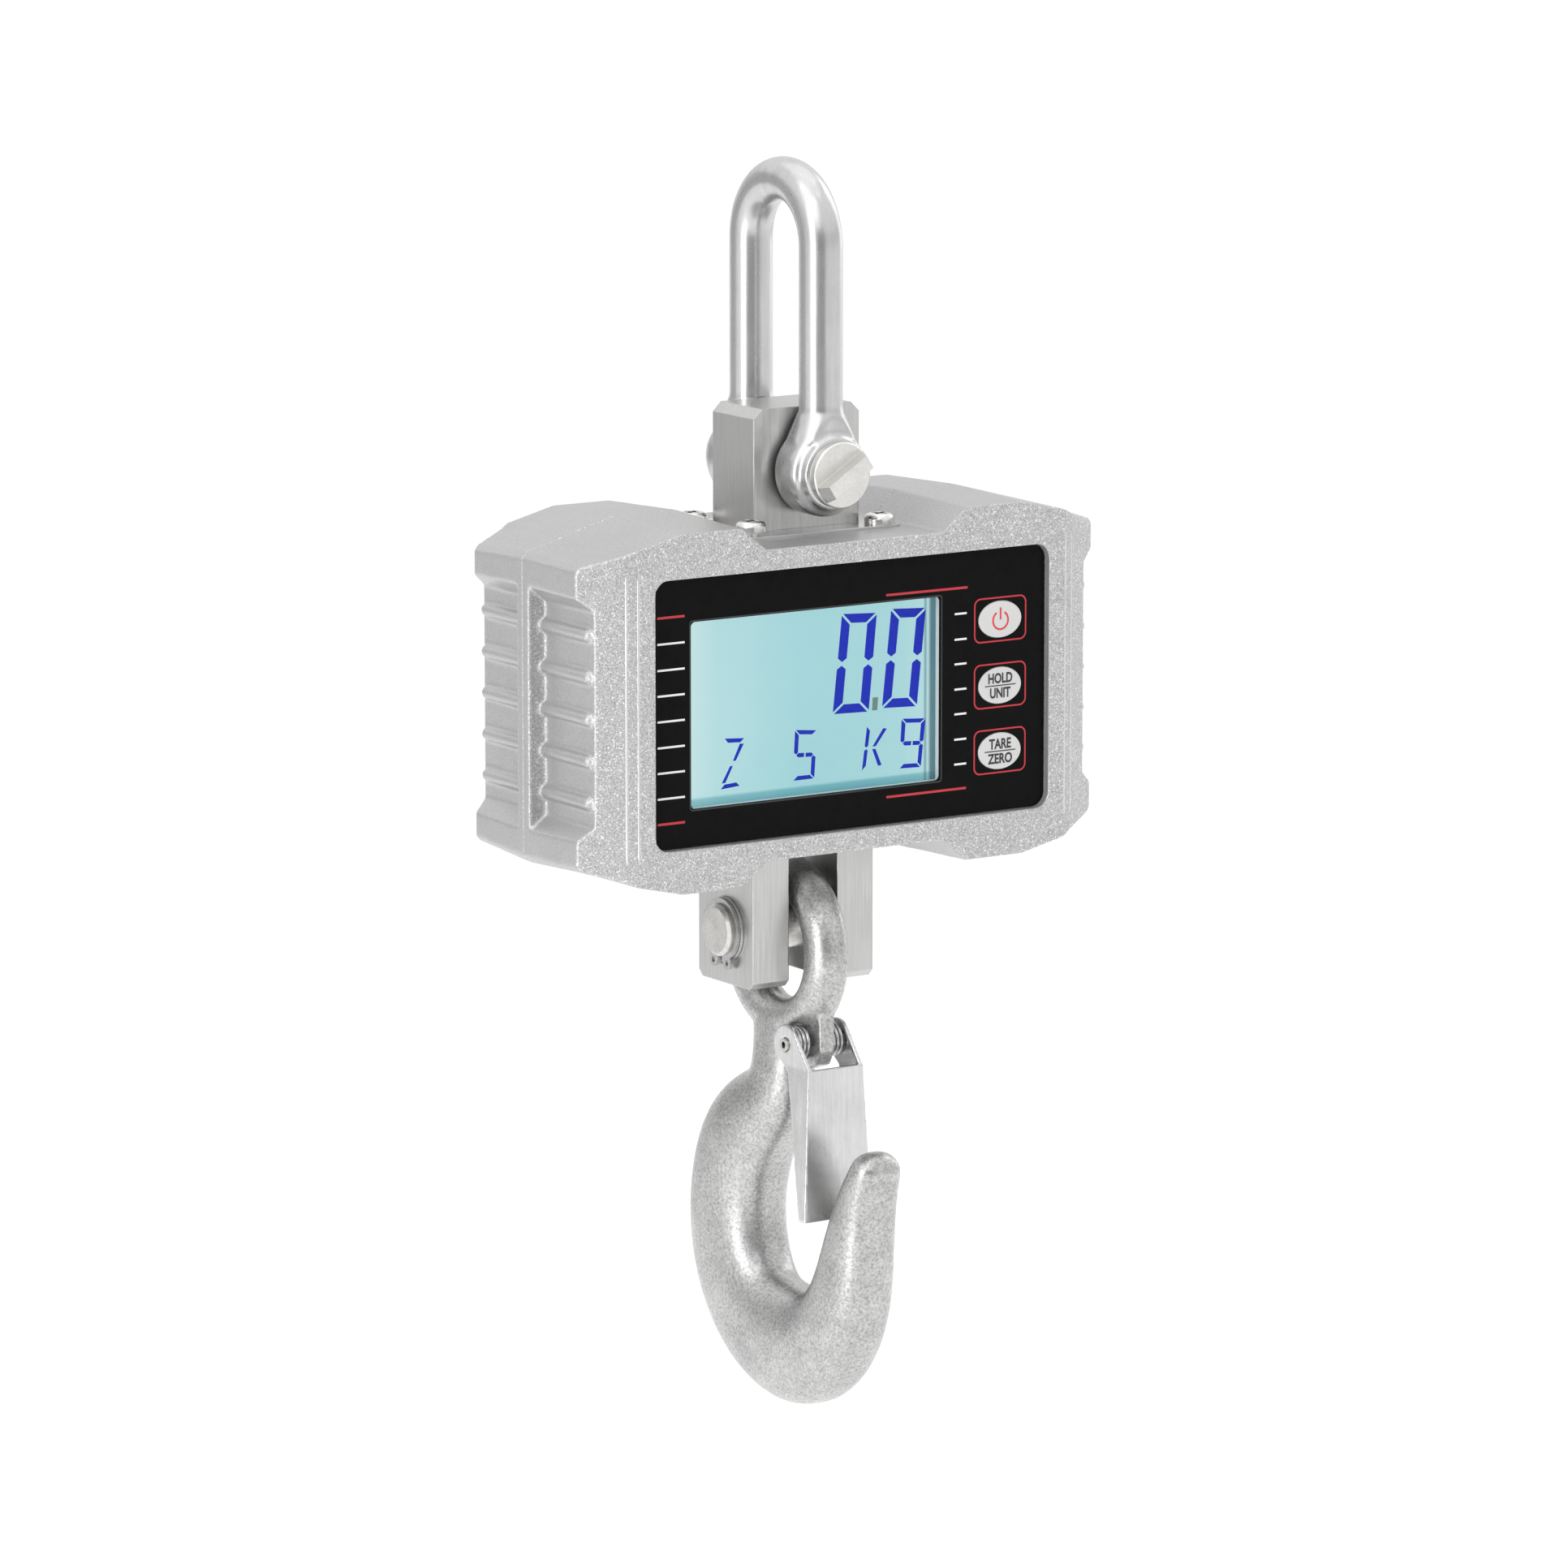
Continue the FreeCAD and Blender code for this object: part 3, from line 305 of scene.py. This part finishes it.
low = lcd.ramp(gz, [(0.0, (0.30, 0.52, 0.58)), (0.035, (0.42, 0.66, 0.70)), (0.05, (1, 1, 1)), (1.0, (1.0, 1.0, 1.0))])
tone = lcd.mixc(1.0, tone, low, "MULTIPLY")
tone = lcd.mixc(lcd.rng(wave, 0.3, 0.7, 0.0, 0.12), tone, (0.62, 0.88, 0.90))
lcd.link(tone, lcd.b.inputs["Emission Color"])
lcd.put(**{"Emission Strength": 0.86, "Roughness": 0.30, "Specular IOR Level": 0.2})
lcd.color(lcd.ramp(wave, [(0.3, (0.020, 0.030, 0.032)), (0.7, (0.028, 0.040, 0.042))]))

light = Mat("lcd_light").put(**{"Emission Strength": 0.5, "Roughness": 0.5})
light.link(light.ramp(light.noise(30, 2, 0.5), [(0.3, (0.75, 0.90, 0.93)), (0.7, (0.85, 0.95, 0.97))]), light.b.inputs["Emission Color"])

keyg = plastic("key_grey", (0.56, 0.56, 0.555), 0.38, grain=2600, bump=0.04, vary=0.03, edge=0.0003)
ink_red = plastic("ink_red", (0.46, 0.018, 0.03), 0.35, grain=1500, bump=0.02, vary=0.06)
ink_white = plastic("ink_white", (0.72, 0.72, 0.71), 0.40, grain=1500, bump=0.02, vary=0.05)
ink_black = plastic("ink_black", (0.02, 0.02, 0.022), 0.40, grain=1500, bump=0.02, vary=0.1)
ink_key_red = plastic("ink_key_red", (0.60, 0.03, 0.04), 0.40, grain=1500, bump=0.02, vary=0.05)
seg_blue = plastic("segment_blue", (0.006, 0.016, 0.30), 0.40, grain=800, bump=0.0, vary=0.10)
seg_blue.put(**{"Emission Color": (0.008, 0.022, 0.42, 1), "Emission Strength": 0.35, "Specular IOR Level": 0.15})
seg_grey = plastic("segment_grey", (0.13, 0.22, 0.19), 0.35, grain=800, bump=0.0, vary=0.1)

rubber = plastic("seal_rubber", (0.018, 0.018, 0.019), 0.70, grain=900, bump=0.15, vary=0.2)
boxp = plastic("box_plastic", (0.03, 0.03, 0.031), 0.50, grain=1800, bump=0.12, vary=0.15, edge=0.0004)
blackp = plastic("switch_black", (0.022, 0.022, 0.023), 0.42, grain=1800, bump=0.1, vary=0.2, edge=0.0002)
framep = plastic("lcd_frame_plastic", (0.62, 0.66, 0.66), 0.45, grain=1800, bump=0.06, vary=0.05, edge=0.0003)
board = plastic("board_green", (0.012, 0.16, 0.055), 0.28, grain=700, bump=0.12, vary=0.25)
cable = plastic("cable_jacket", (0.05, 0.05, 0.052), 0.50, grain=1100, bump=0.12, vary=0.15)
sealant = plastic("gauge_sealant", (0.70, 0.70, 0.66), 0.55, grain=260, bump=0.35, vary=0.08)
foil = metal("gauge_foil", 0.60, 0.78, 0.28, 0.42, big=200, grain=1.0, stretch=(60, 3000, 3000), bump=0.08, tint=(1.0, 0.78, 0.46))

# cell jackets: a dark body with a paler band at one end
jacket = Mat("cell_jacket").put(Metallic=0.35)
sx = jacket.new("ShaderNodeSeparateXYZ")
jacket.link(jacket.tc.outputs["Object"], sx.inputs[0])
jacket.color(jacket.mixc(jacket.ramp(jacket.rng(sx.outputs[0], -0.026, 0.026, 0, 1), [(0.70, 0.0), (0.72, 1.0)]),
                         (0.035, 0.045, 0.07), (0.55, 0.40, 0.16)))
jacket.rough(jacket.rng(jacket.noise(90, 2, 0.5), 0.3, 0.7, 0.24, 0.36))

USE = {"shackle_bow": bow, "shackle_pin": top_pin, "load_cell": cellsteel, "strain_gauges": foil, "gauge_covers": sealant,
       "housing_seal": rubber, "front_housing": paint, "rear_housing": paint, "housing_screws": screw, "top_plate": plate,
       "top_seal": rubber, "top_plate_screws": screw, "bottom_plate": plate, "bottom_seal": rubber,
       "bottom_plate_screws": screw, "front_panel": black, "display_window": clear, "lcd_frame": framep, "lcd_glass": lcd,
       "lcd_backlight": light, "power_key": keyg, "hold_unit_key": keyg, "tare_zero_key": keyg, "key_board": board,
       "tact_switches": blackp, "main_board": board, "main_board_screws": screw, "board_chips": blackp, "buzzer": blackp,
       "battery_box": boxp, "battery_cells": jacket, "battery_contacts": contact, "battery_lid": paint,
       "battery_lid_seal": rubber, "battery_lid_screws": screw, "load_cell_cable": cable, "battery_lead": cable,
       "hook_pin": pin, "pin_washers": washer, "pin_circlips": clip, "hook": zinc, "latch_pin": pin,
       "safety_latch": latch, "latch_spring": spring}
assert set(USE) == set(N), set(USE) ^ set(N)
for name, m in USE.items():
    o = N[name]
    o.data.materials.clear()
    o.data.materials.append(m.m)


# ------------------------------------------------------------------ mesh helpers
def mesh_object(name, verts, faces, mat, body, smooth=False):
    me = bpy.data.meshes.new(name)
    me.from_pydata([tuple(v) for v in verts], [], faces)
    me.validate()
    bm = bmesh.new()
    bm.from_mesh(me)
    bmesh.ops.recalc_face_normals(bm, faces=bm.faces)
    bm.to_mesh(me)
    bm.free()
    for p in me.polygons:
        p.use_smooth = smooth
    me.materials.append(mat.m)
    o = bpy.data.objects.new(name, me)
    scene.collection.objects.link(o)
    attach(o, body)
    return o


def flat(name, outlines, y, mat, body, t=0.04):
    """Closed thin prints: each outline is a list of (x, z) in panel millimetres, its front at depth y."""
    verts, faces = [], []
    for pts in outlines:
        a = len(verts)
        n = len(pts)
        verts += [P(x, y, z) for x, z in pts] + [P(x, y + t, z) for x, z in pts]
        faces += [list(range(a, a + n)), list(range(a + n, a + 2 * n))[::-1]]
        faces += [[a + i, a + (i + 1) % n, a + n + (i + 1) % n, a + n + i] for i in range(n)]
    return mesh_object(name, verts, faces, mat, body)


def ring(name, outer, inner, y, mat, body, t=0.04):
    """A closed band between two outlines with the same number of points."""
    n = len(outer)
    verts = [P(x, yy, z) for yy in (y, y + t) for loop in (outer, inner) for x, z in loop]
    o0, i0, o1, i1 = 0, n, 2 * n, 3 * n
    faces = []
    for k in range(n):
        j = (k + 1) % n
        faces += [[o0 + k, o0 + j, i0 + j, i0 + k], [o1 + k, i1 + k, i1 + j, o1 + j],
                  [o0 + k, o1 + k, o1 + j, o0 + j], [i0 + k, i0 + j, i1 + j, i1 + k]]
    return mesh_object(name, verts, faces, mat, body)


def rounded(cx, cz, w, h, r, n=10):
    pts = []
    for sx_, sz_, a0 in ((1, 1, 0), (-1, 1, 90), (-1, -1, 180), (1, -1, 270)):
        for k in range(n + 1):
            a = math.radians(a0 + 90 * k / n)
            pts.append((cx + sx_ * (w / 2 - r) + r * math.cos(a), cz + sz_ * (h / 2 - r) + r * math.sin(a)))
    return pts


def bar(x0, z0, x1, z1, w):
    d = Vector((x1 - x0, z1 - z0)).normalized()
    nx, nz = -d.y * w / 2, d.x * w / 2
    return [(x0 + nx, z0 + nz), (x1 + nx, z1 + nz), (x1 - nx, z1 - nz), (x0 - nx, z0 - nz)]


# ------------------------------------------------------------------ prints on the panel
PY = -35.69
flat("marks_white", [bar(-68.4, z, -58.9, z, 0.62) for z in (21.4, 13.6, 5.94, -1.73, -9.48, -17.1, -24.8)]
     + [bar(37.3, z, 41.65, z, 0.62) for z in (21.3, 13.5, 6.0, -1.7, -9.26, -17.0, -24.6)], PY, ink_white, "scale_body")
flat("marks_red", [bar(-68.4, 29.2, -58.9, 29.2, 0.72), bar(-68.4, -32.4, -58.9, -32.4, 0.72),
                   bar(12.5, 29.2, 41.9, 29.1, 0.72), bar(12.7, -32.1, 41.6, -32.1, 0.72)], PY, ink_red, "scale_body")
for k, z in enumerate((18.4, -1.8, -21.9)):
    ring("key_border_%d" % k, rounded(53.9, z, 19.1, 13.7, 2.3), rounded(53.9, z, 18.15, 12.75, 1.85), PY, ink_red, "scale_body")
ring("window_border", rounded(-12.225, -0.9, 90.0, 57.1, 1.1), rounded(-12.225, -0.9, 89.2, 56.3, 0.7), PY, ink_black, "scale_body")

# ------------------------------------------------------------------ marks on the keys
KY = -36.035


def words(name, text, x, z, width, height, body):
    """Raised flat lettering, fitted to a width and a height in millimetres about its middle."""
    c = bpy.data.curves.new(name, "FONT")
    c.body = text
    c.size = 0.005
    c.extrude = 0.00002
    c.offset = 0.00015
    c.resolution_u = 4
    tmp = bpy.data.objects.new(name + "_curve", c)
    scene.collection.objects.link(tmp)
    bpy.context.view_layer.update()
    me = bpy.data.meshes.new_from_object(tmp.evaluated_get(bpy.context.evaluated_depsgraph_get()))
    bpy.data.objects.remove(tmp)
    xs, ys = [v.co.x for v in me.vertices], [v.co.y for v in me.vertices]
    fit = Matrix.Diagonal((width / 1000 / (max(xs) - min(xs)), height / 1000 / (max(ys) - min(ys)), 1, 1))
    middle = Matrix.Translation((-(max(xs) + min(xs)) / 2, -(max(ys) + min(ys)) / 2, 0))
    me.transform(Matrix.Translation(P(x, KY, z)) @ Matrix.Rotation(math.pi / 2, 4, "X") @ fit @ middle)
    me.materials.clear()
    me.materials.append(ink_black.m)
    o = bpy.data.objects.new(name, me)
    scene.collection.objects.link(o)
    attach(o, body)
    return o


for body, z, (a, wa), (b, wb) in (("hold_unit_key", -1.8, ("HOLD", 8.8), ("UNIT", 7.5)), ("tare_zero_key", -21.9, ("TARE", 8.0), ("ZERO", 8.9))):
    words(body + "_upper", a, 53.8, z + 2.25, wa, 3.2, body)
    words(body + "_lower", b, 53.8, z - 2.25, wb, 3.2, body)
    flat(body + "_bar", [bar(48.2, z, 59.4, z, 0.34)], KY, ink_black, body)


def arc_band(cx, cz, r, w, a0, a1, n=40):
    pts = [(cx + (r + w / 2) * math.cos(math.radians(a0 + (a1 - a0) * k / n)), cz + (r + w / 2) * math.sin(math.radians(a0 + (a1 - a0) * k / n))) for k in range(n + 1)]
    pts += [(cx + (r - w / 2) * math.cos(math.radians(a1 - (a1 - a0) * k / n)), cz + (r - w / 2) * math.sin(math.radians(a1 - (a1 - a0) * k / n))) for k in range(n + 1)]
    return pts


flat("power_mark", [arc_band(53.8, 18.1, 2.75, 0.62, 122, 418), bar(53.8, 18.3, 53.8, 22.0, 0.62)], KY, ink_key_red, "power_key")

# ------------------------------------------------------------------ display figures
DY = -32.46


def quad_map(tl, tr, bl, br):
    def f(u, v):
        return tuple(tl[i] * (1 - u) * (1 - v) + tr[i] * u * (1 - v) + bl[i] * (1 - u) * v + br[i] * u * v for i in (0, 1))
    return f


def segments(corners, which, tu, tv, gap=0.018):
    """Seven-bar figure.  tu and tv are the bar widths as parts of the figure's width and height."""
    f = quad_map(*corners)
    g = gap
    # the vertical gap is in parts of the height, the horizontal one of the width
    gu = g * 2.0
    seg = {
        "a": [(gu, 0), (1 - gu, 0), (1 - gu - tu, tv), (gu + tu, tv)],
        "d": [(gu, 1), (1 - gu, 1), (1 - gu - tu, 1 - tv), (gu + tu, 1 - tv)],
        "f": [(0, g), (tu, g + tv), (tu, 0.5 - tv / 2 - g / 2), (tu / 2, 0.5 - g), (0, 0.5 - tv / 2 - g / 2)],
        "b": [(1, g), (1 - tu, g + tv), (1 - tu, 0.5 - tv / 2 - g / 2), (1 - tu / 2, 0.5 - g), (1, 0.5 - tv / 2 - g / 2)],
        "e": [(0, 1 - g), (tu, 1 - g - tv), (tu, 0.5 + tv / 2 + g / 2), (tu / 2, 0.5 + g), (0, 0.5 + tv / 2 + g / 2)],
        "c": [(1, 1 - g), (1 - tu, 1 - g - tv), (1 - tu, 0.5 + tv / 2 + g / 2), (1 - tu / 2, 0.5 + g), (1, 0.5 + tv / 2 + g / 2)],
        "g": [(tu / 2 + gu / 2, 0.5), (tu + gu / 2, 0.5 - tv / 2), (1 - tu - gu / 2, 0.5 - tv / 2), (1 - tu / 2 - gu / 2, 0.5), (1 - tu - gu / 2, 0.5 + tv / 2), (tu + gu / 2, 0.5 + tv / 2)],
    }
    out = [[f(u, v) for u, v in seg[s]] for s in which if s in seg]
    for s in which:            # slanted strokes of the narrow upright letters
        if s == "h":           # middle bar in two parts
            out += [[f(u, v) for u, v in ((tu / 2 + gu / 2, 0.5), (tu + gu / 2, 0.5 - tv / 2), (0.47, 0.5 - tv / 2), (0.47, 0.5 + tv / 2), (tu + gu / 2, 0.5 + tv / 2))],
                    [f(u, v) for u, v in ((1 - tu / 2 - gu / 2, 0.5), (1 - tu - gu / 2, 0.5 + tv / 2), (0.54, 0.5 + tv / 2), (0.54, 0.5 - tv / 2), (1 - tu - gu / 2, 0.5 - tv / 2))]]
        if s == "/":
            out.append([f(u, v) for u, v in ((0.78, tv + 0.03), (0.97, tv + 0.03), (0.66, 0.46), (0.52, 0.46))])
            out.append([f(u, v) for u, v in ((0.40, 0.56), (0.54, 0.56), (0.24, 0.97 - tv), (0.06, 0.97 - tv))])
        if s == "k":
            out.append([f(u, v) for u, v in ((0.90, 0.03), (1.10, 0.03), (0.62, 0.47), (0.44, 0.47))])
            out.append([f(u, v) for u, v in ((0.44, 0.53), (0.62, 0.53), (1.10, 0.97), (0.90, 0.97))])
    return out


big = segments(((-1.2, 24.3), (11.3, 23.6), (-4.5, -5.7), (8.4, -6.1)), "abcdef", 0.25, 0.092)
big += segments(((16.5, 24.3), (29.0, 23.6), (13.2, -5.5), (25.8, -6.1)), "abcdef", 0.25, 0.092)
flat("figures_large", big, DY, seg_blue, "scale_body", t=0.03)
small = segments(((-43.1, -9.4), (-35.7, -9.9), (-44.5, -24.6), (-37.4, -24.1)), "ad/", 0.17, 0.085)
small += segments(((-17.9, -9.2), (-10.1, -10.0), (-18.8, -24.5), (-11.1, -24.5)), "afhcd", 0.18, 0.085)
small += segments(((7.85, -10.4), (14.4, -11.4), (6.0, -24.0), (12.4, -23.2)), "fek", 0.19, 0.085)
small += segments(((20.35, -9.4), (29.0, -10.05), (19.4, -24.5), (27.3, -24.8)), "abcdfh", 0.17, 0.085)
flat("figures_small", small, DY, seg_blue, "scale_body", t=0.03)
flat("figures_point", [[(9.85, -2.0), (11.8, -2.0), (11.5, -5.9), (9.6, -5.9)]], DY, seg_grey, "scale_body", t=0.03)


# ------------------------------------------------------------------ forged and cast pieces, softened
def softened(node, voxel, rounds, mat, factor=0.5, ripple=None):
    """A closed copy of a CAD node with the edges a forging or casting has."""
    src = N[node]
    me = src.data.copy()
    o = bpy.data.objects.new(node + "_soft", me)
    scene.collection.objects.link(o)
    md = o.modifiers.new("weld", "WELD")
    md.merge_threshold = 0.00001
    md = o.modifiers.new("remesh", "REMESH")
    md.mode = "VOXEL"
    md.voxel_size = voxel
    md.adaptivity = 0.0
    md = o.modifiers.new("smooth", "SMOOTH")
    md.factor = factor
    md.iterations = rounds
    if ripple:
        tex = bpy.data.textures.new(node + "_ripple", "CLOUDS")
        tex.noise_scale = ripple[0]
        tex.noise_depth = 2
        md = o.modifiers.new("ripple", "DISPLACE")
        md.texture = tex
        md.texture_coords = "LOCAL"
        md.strength = ripple[1]
        md.mid_level = 0.55
    bpy.context.view_layer.update()
    done = bpy.data.meshes.new_from_object(o.evaluated_get(bpy.context.evaluated_depsgraph_get()))
    bpy.data.objects.remove(o)
    done.materials.clear()
    done.materials.append(mat.m)
    for p in done.polygons:
        p.use_smooth = True
    out = bpy.data.objects.new(node + "_piece", done)
    scene.collection.objects.link(out)
    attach(out, src["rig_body"])
    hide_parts(node)
    return out


hook_piece = softened("hook", 0.0006, 6, zinc, ripple=(0.0045, 0.00012))
bow_piece = softened("shackle_bow", 0.0005, 30, bow)
latch_piece = softened("safety_latch", 0.0003, 6, latch)
for shell in ("front_housing", "rear_housing"):
    softened(shell, 0.00055, 3, paint)

def ridge(name, x, y, z0, z1, r, mat, body):
    """A slim upright ridge that runs out at both ends."""
    n, m = 26, 12
    verts, faces = [], []
    for i in range(n + 1):
        t = i / n
        rr = r * min(1.0, math.sin(math.pi * min(t, 1 - t) * 6) if min(t, 1 - t) < 1 / 12 else 1.0)
        rr = max(rr, 0.02)
        verts += [P(x + rr * math.cos(2 * math.pi * k / m), y + rr * math.sin(2 * math.pi * k / m), z0 + (z1 - z0) * t) for k in range(m)]
    for i in range(n):
        faces += [[i * m + k, i * m + (k + 1) % m, (i + 1) * m + (k + 1) % m, (i + 1) * m + k] for k in range(m)]
    faces += [list(range(m))[::-1], list(range(n * m, n * m + m))]
    return mesh_object(name, verts, faces, mat, body, smooth=True)


# painted highlight: slim ridges along the front bevel edges, in a lighter, glossier copy of the housing paint, stand in
# for the bright highlight lines on those edges
ridge_highlight_paint = metal("ridge_highlight_paint", 0.56, 0.70, 0.22, 0.34, big=120, grain=2200, bump=0.10, metallic=0.7)
for tag, sx_ in (("left", -1), ("right", 1)):
    ridge("highlight_ridge_front_outer_" + tag, sx_ * 79.35, -36.05, -47.4, 47.4, 0.55, ridge_highlight_paint, "scale_body")
    ridge("highlight_ridge_front_inner_" + tag, sx_ * 76.2, -37.55, -48.8, 48.8, 0.50, ridge_highlight_paint, "scale_body")

# ------------------------------------------------------------------ stage, lights and world
def plane(name, z, x0, x1, y0, y1):
    me = bpy.data.meshes.new(name)
    me.from_pydata([(x0, y0, z), (x1, y0, z), (x1, y1, z), (x0, y1, z)], [], [(0, 1, 2, 3)])
    o = bpy.data.objects.new(name, me)
    scene.collection.objects.link(o)
    return o


floor_mat = Mat("floor_pale")
floor_mat.color(floor_mat.ramp(floor_mat.noise(3, 3, 0.5), [(0.3, 0.955), (0.7, 0.965)]))
floor_mat.put(Roughness=0.75)
floor = plane("floor", -0.62, -40, 40, -12, 60)
floor.data.materials.append(floor_mat.m)


def area(name, where, target, size, power, size_y=None):
    d = bpy.data.lights.new(name, "AREA")
    d.shape = "RECTANGLE"
    d.size, d.size_y = size, size_y or size
    d.energy = power
    o = bpy.data.objects.new(name, d)
    scene.collection.objects.link(o)
    o.location = where
    o.rotation_euler = (Vector(where) - Vector(target)).to_track_quat("Z", "Y").to_euler()
    return o


aim = (0, 0, -0.18)
lights = [
    area("key_light", (-1.35, -0.75, 1.25), aim, 2.0, 10, 2.0),
    area("side_strip", (-1.62, -0.46, -0.1), (0, 0, -0.1), 0.36, 9.5, 1.3),
    area("fill_light", (1.7, 0.3, 0.5), aim, 0.9, 4, 1.6),
    area("top_light", (0.1, 0.2, 1.7), aim, 2.0, 5)]
for o in lights:
    o.visible_camera = False

# screens round the stage, as in a studio: only reflections see them
def screen(name, a0, a1, z0, z1, lo, hi):
    mat = Mat(name)
    mat.color(mat.ramp(mat.noise(6, 3, 0.5), [(0.3, lo), (0.7, hi)]))
    mat.put(Roughness=0.9)
    me = bpy.data.meshes.new(name)
    ang = [math.radians(a0 + (a1 - a0) * k / 24) for k in range(25)]
    me.from_pydata([(2.2 * math.cos(a), 2.2 * math.sin(a), z) for z in (z0, z1) for a in ang], [],
                   [(k, k + 1, k + 26, k + 25) for k in range(24)])
    o = bpy.data.objects.new(name, me)
    scene.collection.objects.link(o)
    me.materials.append(mat.m)
    o.visible_camera = o.visible_diffuse = o.visible_shadow = False


screen("curtain", -148, -100, -0.60, 0.75, 0.24, 0.30)
screen("back_screen", 100, 150, -0.60, 0.55, 0.42, 0.50)

world = bpy.data.worlds.new("studio")
scene.world = world
world.use_nodes = True
wn = world.node_tree
wc = wn.nodes.new("ShaderNodeTexCoord")
ws = wn.nodes.new("ShaderNodeSeparateXYZ")
wn.links.new(wc.outputs["Generated"], ws.inputs[0])
wr = wn.nodes.new("ShaderNodeValToRGB")
mr = wn.nodes.new("ShaderNodeMapRange")
mr.inputs["From Min"].default_value, mr.inputs["From Max"].default_value = -1, 1
wn.links.new(ws.outputs[2], mr.inputs["Value"])
wn.links.new(mr.outputs["Result"], wr.inputs["Fac"])
el_ = wr.color_ramp.elements
while len(el_) < 5:
    el_.new(0.5)
for i, (p, c) in enumerate(((0.0, 0.9), (0.48, 0.80), (0.56, 0.75), (0.68, 1.0), (1.0, 1.05))):
    el_[i].position = p
    el_[i].color = (c, c, c, 1)
wn.links.new(wr.outputs["Color"], wn.nodes["Background"].inputs["Color"])
wn.nodes["Background"].inputs["Strength"].default_value = 1.05

bpy.context.view_layer.update()
